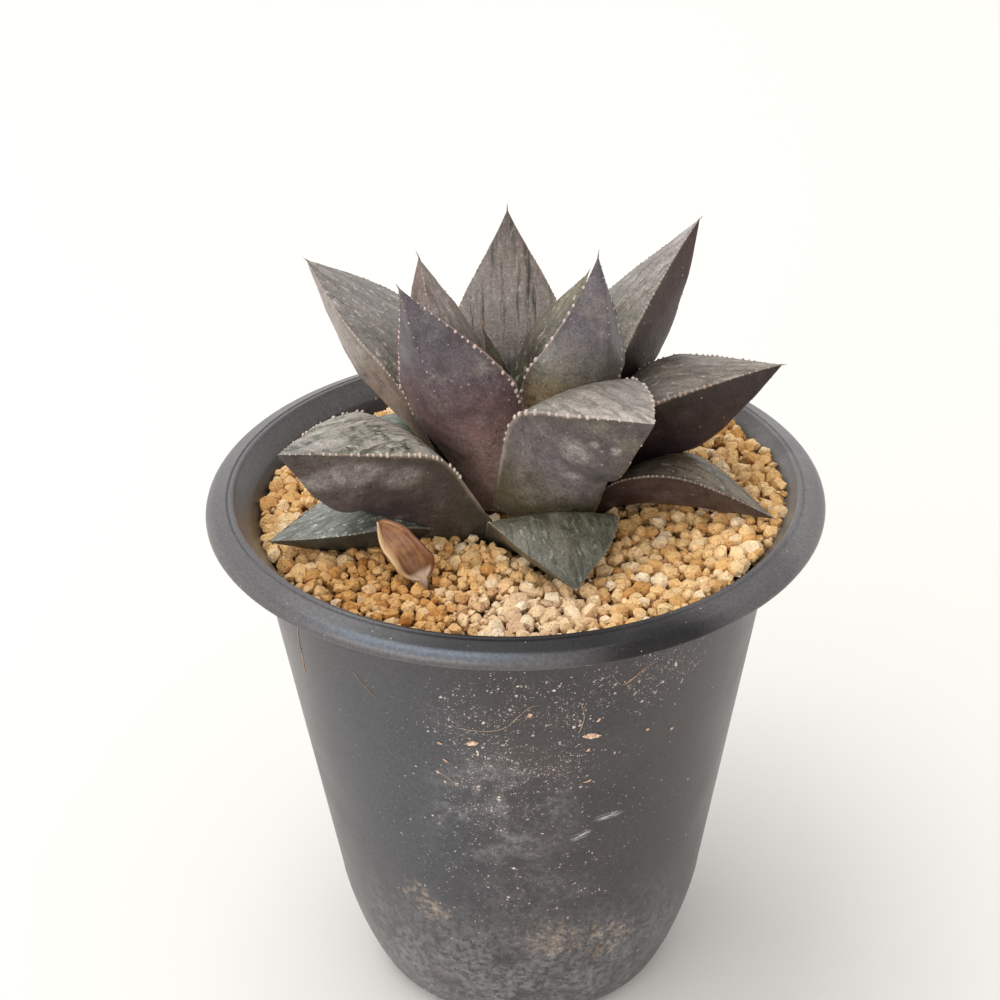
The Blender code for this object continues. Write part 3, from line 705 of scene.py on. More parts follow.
def leaf_skin(name):
    """Living leaf skin: waxy and rough, with a translucent window above and dark purple sides.

    It is half dull, with soft wide highlights, pale flecks where cells are clear and dark lengthwise veins.
    """
    look = LOOKS[name]
    material, node, body, shader = new_material(name + "_living_skin")
    parts = node(PARTS, node(LEAF_PLACE, output="Vector")).node.outputs
    across, along, under = parts["X"], parts["Y"], parts["Z"]
    edge = node(UNSIGNED, across)

    # Mottling 6 mm across, blotches 2 mm across and grain 0.35 mm across
    mottle = node(NOISE, body, scale=1000 / 6, detail=4.0, roughness=0.6)
    blotch = node(NOISE, body, scale=1000 / 2, detail=4.0, roughness=0.7)
    grain = node(NOISE, body, scale=1000 / 0.35, detail=2.0)
    moved = node(PLUS, along, node(TIMES_PLUS, mottle, 0.3, -0.15))
    bare = BARE.get(name, 0.38)
    back = node(RAMP, moved, stops=[(0.1, look.root), (bare, look.back), (0.74, look.back_tip)])
    face = node(RAMP, moved, stops=[(0.2, look.face_root), (0.5, look.face), (0.9, look.face_tip)])

    # The window's veins run along the leaf about 1 mm apart and join in a net 8 mm long
    wander = node(SHIFT, node(NOISE, body, scale=1000 / 3, detail=2.0, output="Color"), (-0.5, -0.5, -0.5))
    wander = node(STRETCH, wander, STRIPE_WANDER if name in STRIPED else VEIN_WANDER)
    warped = node(SHIFT, node(LEAF_SPAN, output="Vector"), wander)
    net = node(NET, node(MAPPING, warped, scale=(1 / 1.9, 1 / 8, 1.0)), scale=1.0)
    net = node(TIMES, node(STEP, net, 0.2, 0.02), node(STEP, blotch, 0.36, 0.62))
    if name in STRIPED:
        net = node(TIMES, net, 0.3)
    veins = node(MAPPING, warped, scale=(1 / 1.2, 0.05, 1.0))
    veins = node(STEP, node(NOISE, veins, scale=1.0, detail=4.0, roughness=0.65), 0.5, 0.66)
    face = node(MIX, node(TIMES, node(MOST, net, veins), look.lines), face, look.line)
    # Clear flecks about 1 mm long, of no set shape
    flecks = node(MAPPING, warped, scale=(1 / 0.7, 1 / 1.8, 1.0))
    flecks = node(STEP, node(NOISE, flecks, scale=1.0, detail=3.0, roughness=0.6), 0.56, 0.68)
    face = node(MIX, node(TIMES, flecks, look.flecks), face, look.fleck)

    # A thin grey bloom and olive green in patches on the outer side, which show less on the darkest leaves
    bloom = node(NOISE, body, scale=1000 / 2.6, detail=4.0, roughness=0.75)
    shown = 0.3 * min(1.0, sum(linear(look.back)) / PALE_BACK)
    back = node(MIX, node(TIMES, node(STEP, bloom, 0.52, 0.78), shown), back, "a09a94")
    back = node(MIX, node(TIMES, node(STEP, blotch, 0.45, 0.3), 0.45), back, look.line)
    back = node(MIX, node(TIMES, node(STEP, mottle, 0.52, 0.68), shown), back, "6e6a54")
    if name in SCUFFS_AND_SHEEN:
        # Skin that was rubbed and healed grey, and painted highlights where the sheen is brightest
        scuff_sheen_noise = node(NOISE, body, scale=1000 / 1.6, detail=4.0, roughness=0.8)
        scuff_sheen_shape = node(RANGE, scuff_sheen_noise, 0.46, 0.6, 0.4, 1.0)
        for place in SCUFFS_AND_SHEEN[name]:
            scuff_and_sheen = node(TIMES, patches(node, body, [place]), scuff_sheen_shape)
            back = node(MIX, node(TIMES, scuff_and_sheen, 0.6), back, "aca6a2")
    # Pale specks 0.25 mm across
    specks = node(CELLS, body, scale=1000 / 1.2)
    chosen = node(STEP, node(PARTS, specks.node.outputs["Color"]), 0.8, 0.84)
    specks = node(TIMES, node(STEP, specks, 0.17, 0.06), chosen)
    back = node(MIX, node(TIMES, specks, 0.35), back, "cfc6c0")

    colour = node(MIX, under, face, back)
    for value, spread in ((grain, 0.3), (mottle, 0.2), (blotch, 0.24)):
        colour = node(TINT, 1.0, colour, node(RANGE, value, 0.3, 0.7, 1 - spread, 1 + spread))
    # A dark line runs beside the pale margin
    beside = node(TIMES, node(STEP, edge, 0.86, 0.95), under)
    colour = node(MIX, node(TIMES, beside, 0.3), colour, look.line)
    margin = node(TIMES, node(STEP, edge, 0.968, 0.997), node(STEP, along, 0.05, 0.2))
    margin = node(TIMES, margin, node(TIMES_PLUS, blotch, 0.6, 0.05))
    colour = node(MIX, margin, colour, look.bead)

    height = node(TIMES_PLUS, veins, -0.3, node(TIMES_PLUS, grain, 0.6, blotch))
    plug(shader, {
        "Base Color": colour,
        "Roughness": node(RANGE, bloom, 0.0, 1.0, 0.28, 0.58),
        "IOR": 1.45,
        "Specular IOR Level": 0.3 if name in DULL else 0.5,
        "Normal": node(BUMP, height=height, strength=0.6, distance=0.16 * MM),
    })
    return material


def dry_thorn(name):
    """The thorn that ends a leaf: dead and horny, brown on the youngest leaf and greyed on the rest."""
    material, node, body, shader = new_material(name + "_thorn")
    young = [(0.35, "6e4424"), (0.65, "a87848")]
    old = [(0.35, "54483f"), (0.65, "8a7c70")]
    tone = node(NOISE, body, scale=1000 / 0.6, detail=2.0)
    colour = node(RAMP, tone, stops=young if name == "leaf_heart" else old)
    plug(shader, {"Base Color": colour, "Roughness": 0.5})
    return material


def leaf_bead(name):
    """A bead of the leaf's margin: hard clear skin, pale and a little glossy."""
    material, node, body, shader = new_material(name + "_bead")
    spots = node(STEP, node(NOISE, body, scale=1000 / 1.5), 0.35, 0.65)
    plug(shader, {"Base Color": node(MIX, spots, LOOKS[name].bead, LOOKS[name].fleck), "Roughness": 0.45})
    return material


# The pot


def body_radius(height):
    """The radius of the pot's outside at a height. Below the taper it rounds in to the foot."""
    straight = BODY_RADIUS - (BODY_TOP - height) * TAPER
    if height >= ROUND_HEIGHT:
        return straight
    top = BODY_RADIUS - (BODY_TOP - ROUND_HEIGHT) * TAPER
    share = (1 - height / ROUND_HEIGHT) ** ROUND_POWER
    return FOOT_RADIUS + (top - FOOT_RADIUS) * (1 - share) ** (1 / ROUND_POWER)


def inside_radius(height):
    """The radius of the pot's inside at a height. The throat flares out to the lip."""
    wall = body_radius(min(height, THROAT_HEIGHT)) - WALL
    if height <= THROAT_HEIGHT:
        return wall
    share = min((height - THROAT_HEIGHT) / (LIP_HEIGHT - THROAT_HEIGHT), 1.0)
    return wall + (LIP_RADIUS - wall) * share**1.4


def pot_profile():
    """The pot's section in mm, from the lip over the flange and down the outside, then up the inside."""
    lip = LIP_HEIGHT / MM
    points = [(40.75, lip - 0.25), (40.85, lip - 0.08), (41.05, lip), (41.3, lip - 0.02), (41.5, lip - 0.12)]
    # A fine line is moulded just outside the lip
    points += [(41.65, lip - 0.3), (41.8, lip - 0.3), (41.95, lip - 0.16), (42.3, lip - 0.26)]
    points.append((FLANGE_EDGE[0], lip - 0.6))
    for turn in range(68, 3, -8):
        across, up = EDGE_ROLL * math.cos(math.radians(turn)), EDGE_ROLL * math.sin(math.radians(turn))
        points.append((FLANGE_EDGE[0] + across, FLANGE_EDGE[1] + up))
    # Under the flange and into the body
    points += [(44.97, 80.72), (44.85, 80.52), (44.6, 80.42), (44.2, 80.45), (43.5, 80.65), (42.0, 80.92)]
    points += [(40.4, 81.05), (39.5, 80.95), (38.9, 80.6), (38.6, 80.1)]
    points += [(body_radius(height * MM) / MM, height) for height in HEIGHTS_DOWN]
    # The foot ring, the floor and its middle drain
    foot, drain = FOOT_INNER_RADIUS / MM, DRAIN_RADIUS / MM
    under, floor = FLOOR_BOTTOM / MM, FLOOR_TOP / MM
    points += [(21.9, 1.2), (21.85, 0.6), (21.7, 0.25), (21.45, 0.05), (21.1, 0.0), (19.6, 0.0), (19.2, 0.1)]
    points += [(foot, 0.4), (foot, under), (drain, under), (drain, floor), (foot, floor)]
    points += [(inside_radius(height * MM) / MM, height) for height in HEIGHTS_UP]
    return points


def cut(obj, cutter):
    """Cuts one object's shape out of another."""
    select_only(obj)
    hole = obj.modifiers.new("cut", "BOOLEAN")
    hole.object = cutter
    hole.operation = "DIFFERENCE"
    bpy.ops.object.modifier_apply(modifier="cut")
    bpy.data.objects.remove(cutter, do_unlink=True)


def spin_pot():
    """The pot's shell, turned from its section."""
    profile = pot_profile()
    edges = [(i, (i + 1) % len(profile)) for i in range(len(profile))]
    mesh = bpy.data.meshes.new("pot_shell")
    mesh.from_pydata([(r * MM, 0, z * MM) for r, z in profile], edges, [])
    pot = bpy.data.objects.new("pot_shell", mesh)
    bpy.context.scene.collection.objects.link(pot)
    select_only(pot)
    bpy.ops.object.mode_set(mode="EDIT")
    bpy.ops.mesh.select_all(action="SELECT")
    bpy.ops.mesh.spin(steps=POT_STEPS, angle=math.tau, center=(0, 0, 0), axis=(0, 0, 1), use_auto_merge=True)
    bpy.ops.mesh.select_all(action="SELECT")
    bpy.ops.mesh.remove_doubles(threshold=MERGE)
    bpy.ops.mesh.normals_make_consistent(inside=False)
    bpy.ops.object.mode_set(mode="OBJECT")
    return pot


def make_pot():
    """The pot, with the notches in its foot ring and the drain holes in its floor."""
    pot = spin_pot()
    for index in range(NOTCHES):
        turn = Matrix.Rotation(math.tau * index / NOTCHES, 4, "Z")
        bpy.ops.mesh.primitive_cube_add(size=1.0)
        notch = bpy.context.object
        size = Matrix.Diagonal((*NOTCH_SIZE, 1))
        notch.data.transform(turn @ Matrix.Translation((NOTCH_CIRCLE, 0, 0)) @ size)
        cut(pot, notch)
        bpy.ops.mesh.primitive_cylinder_add(vertices=32, radius=SMALL_DRAIN_RADIUS, depth=9 * MM)
        drain = bpy.context.object
        drain.data.transform(turn @ Matrix.Translation((SMALL_DRAIN_CIRCLE, 0, 0)))
        cut(pot, drain)
    pot.data.materials.clear()
    pot.data.materials.append(pot_plastic())
    select_only(pot)
    bpy.ops.object.shade_smooth_by_angle(angle=math.radians(35))
    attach(pot, "root")
    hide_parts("pot")


def pot_plastic():
    """Injection-moulded polypropylene, dyed black: satin, scuffed, with dry dust and soil on its front."""
    material, node, body, shader = new_material("black_polypropylene")
    marks = {name: patches(node, body, places) for name, places in POT_MARKS.items()}
    height = node(PARTS, body, output="Z")
    radius = node(LENGTH, node(MAPPING, body, scale=(1.0, 1.0, 0.0)))
    cloud = node(NOISE, body, scale=1000 / 14, detail=3.0, roughness=0.65)
    grain = node(NOISE, body, scale=1000 / 0.45, detail=3.0)
    base = node(RAMP, cloud, stops=[(0.3, "2e2b2d"), (0.7, "3c3837")])
    # Painted reflection: the side is tinted blue where a window would reflect in it
    base = node(MIX, node(TIMES, marks["window_reflection"], 0.3), base, "404853")
    flange = node(STEP, height, 80.2 * MM, 80.6 * MM)
    # Painted light: the flange is lighter for the light and reflection that its top catches
    base = node(MIX, node(TIMES, flange, 0.8), base, "4f4d4e")
    # Painted shade: the flange is darkest at the front, inside its edge
    front = node(TIMES, node(TIMES, flange, marks["flange_front_shade"]), node(STEP, radius, 44.4 * MM, 43.6 * MM))
    front = node(MOST, front, marks["flange_corner_shade"])
    base = node(MIX, node(TIMES, front, 0.9), base, "141213")
    # Painted highlight: a pale blue band on the flange's rolled edge at the front left
    painted_edge_band = node(TIMES, node(STEP, radius, 43.4 * MM, 44.0 * MM), node(STEP, radius, 44.9 * MM, 44.4 * MM))
    painted_edge_band = node(TIMES, painted_edge_band, marks["flange_edge_highlight"])
    base = node(MIX, node(TIMES, painted_edge_band, 0.9), base, "535a65")
    # Painted light on the inner wall at the right, which faces the light from the left
    throat = node(TIMES, marks["throat_lit"], node(STEP, cloud, 0.3, 0.5))
    base = node(MIX, node(TIMES, throat, 0.7), base, "6e6c6a")
    base = node(TINT, 1.0, base, node(RANGE, grain, 0.3, 0.7, 0.75, 1.3))

    # A grey film of dried water below the dust, and round the foot
    ragged = node(NOISE, body, scale=1000 / 6, detail=4.0, roughness=0.75)
    veil = node(NOISE, body, scale=1000 / 1.1, detail=4.0, roughness=0.8)
    film = node(TIMES, marks["film"], node(STEP, ragged, 0.4, 0.66))
    low_film = node(TIMES, marks["film_low"], node(STEP, ragged, 0.36, 0.7))
    film = node(MOST, film, node(TIMES, low_film, 0.6))
    foot_film = node(TIMES, node(STEP, height, 36 * MM, 8 * MM), node(STEP, ragged, 0.25, 0.6))
    film = node(MOST, film, node(TIMES, foot_film, 1.3))
    film = node(TIMES, film, node(STEP, veil, 0.34, 0.62))
    colour = node(MIX, node(TIMES, film, 0.65), base, "807e80")

    # Tan soil that splashed on low down, in ragged crusts
    mud = node(MOST, marks["mud"], node(TIMES, marks["mud_low"], 0.7))
    crust = node(NOISE, body, scale=1000 / 1.3, detail=4.0, roughness=0.75)
    crust = node(MINUS, crust, node(TIMES_PLUS, mud, -0.34, 0.81))
    crust = node(TIMES, node(STEP, crust, -0.04, 0.16), node(STEP, mud, 0.02, 0.4))
    tan = node(RAMP, veil, stops=[(0.35, "6c5c4c"), (0.5, "93806c"), (0.65, "b4a898")])
    colour = node(MIX, node(TIMES, crust, 0.6), colour, tan)

    for middle, turn, size in SCRATCHES:
        moved = node(SHIFT, body, [-v * MM for v in middle])
        turned = node(MAPPING, moved, rotation=(0, math.radians(turn), 0))
        streaks = node(NOISE, node(MAPPING, turned, scale=(500, 500, 3500)), scale=1.0, detail=4.0)
        scratch = node(TIMES, patches(node, turned, [((0, 0, 0), size)]), node(STEP, streaks, 0.4, 0.6))
        colour = node(MIX, node(TIMES, scratch, 0.8), colour, "bcbcc2")

    grains = dust_grains(node, body, marks, ragged)
    pale = node(NOISE, body, scale=1000 / 1.1, detail=1.0)
    pale = node(RAMP, pale, stops=[(0.3, "86786c"), (0.5, "aca09a"), (0.7, "dccdbb")])
    colour = node(MIX, node(TIMES, grains, 0.85), colour, pale)

    rough = node(TIMES_PLUS, film, 0.25, node(RANGE, cloud, 0.3, 0.7, 0.27, 0.4))
    plug(shader, {
        "Base Color": colour,
        "Roughness": node(PLUS, rough, node(TIMES, grains, 0.4)),
        "IOR": 1.5,
        "Specular IOR Level": node(TIMES_PLUS, front, -0.3, 0.5),
        "Normal": node(BUMP, height=grain, strength=0.5, distance=0.06 * MM),
    })
    return material


def dust_grains(node, body, marks, ragged):
    """1 on each grain of dust. They are 0.1 mm to 0.5 mm across, and thickest on the front."""
    amount = node(TIMES, node(TIMES, marks["dust"], node(STEP, ragged, 0.36, 0.64)), 1.7)
    amount = node(PLUS, amount, node(TIMES, marks["dust_thin"], 0.12))
    amount = node(PLUS, amount, DUST_EVERYWHERE)
    jagged = node(SHIFT, node(NOISE, body, scale=1000 / 0.5, detail=2.0, output="Color"), (-0.5, -0.5, -0.5))
    jagged = node(SHIFT, body, node(STRETCH, jagged, [0.7 * MM] * 3))
    grains = None
    for spacing, share in DUST_LAYERS:
        cells = node(CELLS, jagged, scale=1000 / spacing)
        pick = node(PARTS, cells.node.outputs["Color"])
        chosen = node(ABOVE, pick, node(TIMES_PLUS, amount, -share, 1.0))
        layer = node(TIMES, chosen, node(BELOW, cells, node(TIMES_PLUS, pick, 0.12, 0.14)))
        grains = layer if grains is None else node(MOST, grains, layer)
    return grains


def on_pot(turn, height, lift=0.0):
    """A place on the pot's outside: degrees to the right of its front, and height and lift in mm."""
    radius = body_radius(height * MM) + lift * MM
    angle = math.radians(turn)
    return Vector((radius * math.sin(angle), -radius * math.cos(angle), height * MM))


def plant_fibre():
    """Dry root hair: matt and tan."""
    material, node, body, shader = new_material("dry_root_fibre")
    tone = node(NOISE, body, scale=1000 / 1.5, detail=2.0)
    colour = node(RAMP, tone, stops=[(0.35, "8a6c54"), (0.65, "c4a88a")])
    plug(shader, {"Base Color": colour, "Roughness": 0.8})
    return material


def husk_skin():
    """Bits of bark and seed husk that stuck to the pot: dry, ridged, pale tan."""
    material, node, body, shader = new_material("dry_husk")
    ridges = node(NOISE, body, scale=1000 / 0.5, detail=3.0)
    plug(shader, {
        "Base Color": node(RAMP, ridges, stops=[(0.35, "9a7058"), (0.65, "e4c8ae")]),
        "Roughness": 0.75,
        "Normal": node(BUMP, height=ridges, strength=0.8, distance=0.1 * MM),
    })
    return material


def make_fibre(turns, material):
    """A root fibre that lies on the pot's side through these places."""
    curve = bpy.data.curves.new("fibre", "CURVE")
    curve.dimensions = "3D"
    curve.bevel_depth = FIBRE_RADIUS
    curve.bevel_resolution = 1
    curve.use_fill_caps = True
    spline = curve.splines.new("NURBS")
    spline.points.add(len(turns) - 1)
    spline.use_endpoint_u = True
    spline.order_u = 3
    spline.resolution_u = 6
    for point, (turn, height) in zip(spline.points, turns):
        point.co = (*on_pot(turn, height, 0.04), 1.0)
    fibre = bpy.data.objects.new("fibre", curve)
    bpy.context.scene.collection.objects.link(fibre)
    select_only(fibre)
    bpy.ops.object.convert(target="MESH")
    fibre.data.materials.append(material)
    return fibre


def make_husk(turn, height, long, wide, spin, material):
    """A flat husk with pointed ends and a ragged outline, stuck to the pot's side."""
    bpy.ops.mesh.primitive_uv_sphere_add(segments=20, ring_count=12, radius=1.0)
    husk = bpy.context.object
    for vert in husk.data.vertices:
        vert.co.z *= 1 - 0.55 * abs(vert.co.x) ** 2
        vert.co *= 1 + 0.45 * noise.noise(vert.co * 1.6 + Vector((turn, height, 0)))
    size = Matrix.Diagonal((long / 2 * MM, HUSK_DEPTH, wide / 2 * MM, 1))
    lie = Matrix.Rotation(math.radians(turn), 4, "Z") @ Matrix.Rotation(math.radians(spin), 4, "Y")
    husk.data.transform(Matrix.Translation(on_pot(turn, height, 0.06)) @ lie @ size)
    husk.data.materials.append(material)
    husk.data.shade_smooth()
    return husk


def make_litter():
    """Root fibres and husks that stuck to the pot's side when it was last watered."""
    root_hair, husk = plant_fibre(), husk_skin()
    pieces = [make_fibre(turns, root_hair) for turns in FIBRES]
    pieces += [make_husk(*values, husk) for values in HUSKS]
    litter = join("pot_litter", *pieces)
    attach(litter, "root")


# The soil


def soil_height(x, y):
    """The height of the granules' middles, in metres. They are heaped against the wall on the right."""
    mound = MOUND_HEIGHT * (1 - float(smooth(math.hypot(x, y) / MOUND_RADIUS)))
    heap = HEAP_HEIGHT * float(smooth((x - HEAP_START) / (HEAP_END - HEAP_START)))
    return SOIL_LEVEL + SOIL_SLOPE * x + mound + heap


def granule_shapes(count, corners, first):
    """Rough pebbles broken along flat faces, radius 1: the hull of a few scattered corners."""
    shapes = []
    for index in range(count):
        draw = random.Random(first + index)
        squash = (draw.uniform(0.95, 1.2), draw.uniform(0.8, 1.05), draw.uniform(0.7, 0.95))
        spots = []
        while len(spots) < corners:
            spot = Vector((draw.gauss(0, 1), draw.gauss(0, 1), draw.gauss(0, 1))).normalized()
            if all((spot - other).length > 2.6 / math.sqrt(corners) for other in spots):
                spots.append(spot)
        spots = [Vector(a * b for a, b in zip(spot * draw.uniform(0.78, 1.15), squash)) for spot in spots]
        pebble = mesh_object("pebble", spots, [])
        select_only(pebble)
        bpy.ops.object.mode_set(mode="EDIT")
        bpy.ops.mesh.select_all(action="SELECT")
        bpy.ops.mesh.convex_hull()
        bpy.ops.mesh.normals_make_consistent(inside=False)
        bpy.ops.object.mode_set(mode="OBJECT")
        points = np.array([v.co for v in pebble.data.vertices])
        faces = [tuple(p.vertices) for p in pebble.data.polygons]
        bpy.data.objects.remove(pebble, do_unlink=True)
        shapes.append((points, faces))
    return shapes


def leaf_trees():
    """Each leaf's solid, to keep the granules out of it."""
    trees = []
    for name in list(LEAVES) + ["leaf_dry", "stem"]:
        shape = bmesh.new()
        shape.from_mesh(bpy.data.objects[name].data)
        trees.append(BVHTree.FromBMesh(shape))
        shape.free()
    return trees


def is_clear(trees, middle, radius):
    """Whether a granule is outside all the leaves, and at most leans on them."""
    for tree in trees:
        spot, _, _, distance = tree.find_nearest(middle, 9 * MM)
        if spot is None:
            continue
        if distance < 0.45 * radius:
            return False
        # A ray up from inside a solid leaves it an odd number of times
        crossings = 0
        start = middle.copy()
        while crossings < 9:
            hit = tree.ray_cast(start, Vector((0, 0, 1)))[0]
            if hit is None:
                break
            crossings += 1
            start = hit + Vector((0, 0, 0.000002))
        if crossings % 2:
            return False
    return True


def pack_granules(draw, sizes, crowding):
    """Places of granules that lie side by side: larger ones first, each where there is room."""
    placed = np.zeros((0, 3))
    for largest, smallest, tries in sizes:
        for _ in range(tries):
            reach = math.sqrt(draw.random()) * SOIL_RADIUS
            angle = draw.uniform(0, math.tau)
            x, y = reach * math.cos(angle), reach * math.sin(angle)
            radius = draw.uniform(smallest, largest)
            if math.hypot(x - FINE_PLACE[0], y - FINE_PLACE[1]) < FINE_PLACE[2]:
                radius *= FINE_SHARE
            if reach > inside_radius(soil_height(x * MM, y * MM)) / MM - radius * 0.7:
                continue
            if len(placed):
                gap = np.hypot(placed[:, 0] - x, placed[:, 1] - y) - crowding * (placed[:, 2] + radius)
                if gap.min() < 0:
                    continue
            placed = np.vstack([placed, (x, y, radius)])
    return placed


def make_granules(name, draw, shapes, places, drop, trees, material):
    """Copies of the pebbles, each turned its own way, with a tone of its own."""
    matrices = [[] for _ in shapes]
    for x, y, radius in places:
        z = soil_height(x * MM, y * MM) / MM - drop + draw.uniform(-0.4, 0.4) + (1.0 - radius) * 0.5
        middle = Vector((x, y, z)) * MM
        kind = draw.randrange(len(shapes))
        angle = draw.uniform(0, math.tau)
        turn = Matrix.Rotation(angle, 4, Vector((draw.gauss(0, 1), draw.gauss(0, 1), 0.3)))
        if not is_clear(trees, middle, radius * MM):
            continue
        matrices[kind].append(Matrix.Translation(middle) @ turn @ Matrix.Scale(radius * 1.2 * MM, 4))
    pieces = []
    for shape, group in zip(shapes, matrices):
        if not group:
            continue
        piece = copies(name, shape, group, material)
        tone = piece.data.attributes.new("granule_tone", "FLOAT", "POINT")
        tones = [draw.betavariate(2.4, 2.0) for _ in group]
        tone.data.foreach_set("value", np.repeat(tones, len(shape[0])))
        pieces.append(piece)
    return join(name, *pieces)


def make_soil_bed(material):
    """The shaded mass of small grains under the granules, down to the pot's floor."""
    bpy.ops.mesh.primitive_cylinder_add(vertices=96, radius=1.0, depth=2.0, end_fill_type="TRIFAN")
    bed = bpy.context.object
    select_only(bed)
    bpy.ops.object.mode_set(mode="EDIT")
    bpy.ops.mesh.select_all(action="SELECT")
    bpy.ops.mesh.subdivide(number_cuts=5)
    bpy.ops.object.mode_set(mode="OBJECT")
    low, high = FLOOR_TOP + 0.1 * MM, BED_HEIGHT
    for vert in bed.data.vertices:
        share = (vert.co.z + 1) / 2
        height = low + (high - low) * share
        reach = math.hypot(vert.co.x, vert.co.y)
        wall = (inside_radius(height) if share > 0.08 else FOOT_INNER_RADIUS) - 0.15 * MM
        vert.co.x *= wall
        vert.co.y *= wall
        vert.co.z = height
        if share > 0.999:
            lump = noise.noise(vert.co * 600) * 0.5 * MM
            vert.co.z = soil_height(vert.co.x, vert.co.y) - BED_DEPTH + lump * (1 if reach < 0.97 else 0)
    bed.data.materials.append(material)
    bed.data.shade_smooth()
    return bed


def soil_material():
    """Baked clay and pumice granules: dry, porous and quite matt, in cream, tan and rust."""
    material, node, body, shader = new_material("baked_clay_granules")
    vary = node(NOISE, body, scale=1000 / 1.2, detail=3.0, roughness=0.7)
    tone = node(PLUS, node(TIMES_PLUS, vary, 0.6, -0.3), node(GRANULE_TONE, output="Fac"))
    clays = [(0.0, "c08648"), (0.25, "dcaa6a"), (0.5, "efc487"), (0.75, "f8d5a0"), (1.0, "ffebcc")]
    base = node(RAMP, tone, stops=clays)
    base = node(TINT, node(TIMES, patches(node, body, [GOLDEN_SOIL]), 0.7), base, "e6d0ac")
    base = node(MIX, node(TIMES, patches(node, body, [CHALKY_SOIL]), 0.35), base, "f6ead6")
    # Pores and short cracks 0.3 mm across, painted darker for the shade inside them
    pores = node(STEP, node(CELLS, body, scale=1000 / 0.55), 0.36, 0.12)
    crumb = node(NOISE, body, scale=1000 / 0.45, detail=3.0, roughness=0.75)
    cracks = node(STEP, node(UNSIGNED, node(PLUS, crumb, -0.5)), 0.03, 0.0)
    cracks = node(TIMES, cracks, node(STEP, vary, 0.45, 0.6))
    shaded_hollows = node(MOST, node(TIMES, pores, node(STEP, vary, 0.54, 0.42)), cracks)
    colour = node(MIX, node(TIMES, shaded_hollows, 0.5), base, "86562c")
    colour = node(TINT, 1.0, colour, node(RANGE, crumb, 0.3, 0.7, 0.8, 1.16))
    height = node(TIMES_PLUS, pores, -0.35, crumb)
    plug(shader, {
        "Base Color": colour,
        "Roughness": 0.92,
        "Specular IOR Level": 0.25,
        "Normal": node(BUMP, height=height, strength=1.0, distance=0.34 * MM),
    })
    return material


def soil_dust():
    """The fine crumbs between the granules, darker because little light reaches them."""
    material, node, body, shader = new_material("clay_crumbs")
    crumb = node(NOISE, body, scale=1000 / 0.8, detail=5.0, roughness=0.7)
    plug(shader, {
        "Base Color": node(RAMP, crumb, stops=[(0.3, "4a3018"), (0.7, "7c5a34")]),
        "Roughness": 0.95,
        "Normal": node(BUMP, height=crumb, strength=1.0, distance=0.4 * MM),
    })
    return material


def make_soil():
    """The bed and its granules in three layers, in place of the soil's solid."""
    draw = random.Random(21)
    trees = leaf_trees()
    material = soil_material()
    top = pack_granules(draw, TOP_SIZES, TOP_CROWDING)
    under = pack_granules(draw, UNDER_SIZES, CROWDING)
    crumbs = pack_granules(draw, CRUMB_SIZES, CROWDING)
    pieces = [make_soil_bed(soil_dust())]
    pebbles = granule_shapes(14, 22, 500)
    chips = granule_shapes(4, 12, 700)
    pieces.append(make_granules("granules_under", draw, chips, under, UNDER_DROP, trees, material))
    pieces.append(make_granules("granules_top", draw, pebbles, top, 0.0, trees, material))
    pieces.append(make_granules("crumbs", draw, chips, crumbs, CRUMB_DROP, trees, material))
    soil = join("soil_cover", *pieces)
    bpy.ops.object.shade_smooth_by_angle(angle=math.radians(30))
    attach(soil, "root")
    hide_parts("soil")


# The dead leaf and the stem

# The dead leaf's ends and the way its back faces, its bow, and the radius and half angle of its curl
DRY_ROOT = Vector((-12.8, -21.3, 77.0)) * MM
DRY_TIP = Vector((-18.7, -18.0, 87.6)) * MM
DRY_BACK = Vector((0.25, 0.97, 0.0))
DRY_BOW = 2.4 * MM
DRY_CURL_RADIUS = 2.9 * MM
DRY_CURL = math.radians(82)
DRY_ROWS = 48
DRY_COLUMNS = 40


def make_dry_leaf():
    """The dead leaf: a thin sheet on a stalk, bowed along its length and curled across it."""
    along = (DRY_TIP - DRY_ROOT).normalized()
    line = DRY_TIP - DRY_ROOT
    back = DRY_BACK.cross(along).cross(-along).normalized()
    across = along.cross(back)
    bpy.ops.mesh.primitive_grid_add(x_subdivisions=DRY_COLUMNS, y_subdivisions=DRY_ROWS, size=2.0)
    strip = bpy.context.object
    place = strip.data.attributes.new("strip_place", "FLOAT_VECTOR", "POINT")
    for index, vert in enumerate(strip.data.vertices):
        side, share = vert.co.x, (vert.co.y + 1) / 2
        place.data[index].vector = (side, share, 0)
        # A narrow stalk, then a cup that is widest near its middle
        spread = min(max((share - 0.2) / 0.81, 0.0), 1.0) ** 0.85
        curl = DRY_CURL * max(0.12, math.sin(math.pi * spread) ** 0.8)
        radius = DRY_CURL_RADIUS * (1 + 0.08 * math.sin(7 * share))
        angle = curl * side
        out = back * math.cos(angle) + across * math.sin(angle)
        bow = across * DRY_BOW * math.sin(math.pi * share)
        crumple = noise.noise(Vector((side * 2.2, share * 5, 1.7))) * 0.4 * MM
        crumple += noise.noise(Vector((side * 7, share * 14, 4.1))) * 0.1 * MM
        vert.co = DRY_ROOT + line * share - bow + (out - back) * radius + out * crumple
    select_only(strip)
    skin = strip.modifiers.new("skin", "SOLIDIFY")
    skin.thickness = 0.45 * MM
    skin.offset = 0.0
    bpy.ops.object.modifier_apply(modifier="skin")
    strip.data.materials.append(dry_skin())
    strip.data.shade_smooth()
    strip.name = "leaf_dry_skin"
    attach(strip, "root")
    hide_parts("leaf_dry")


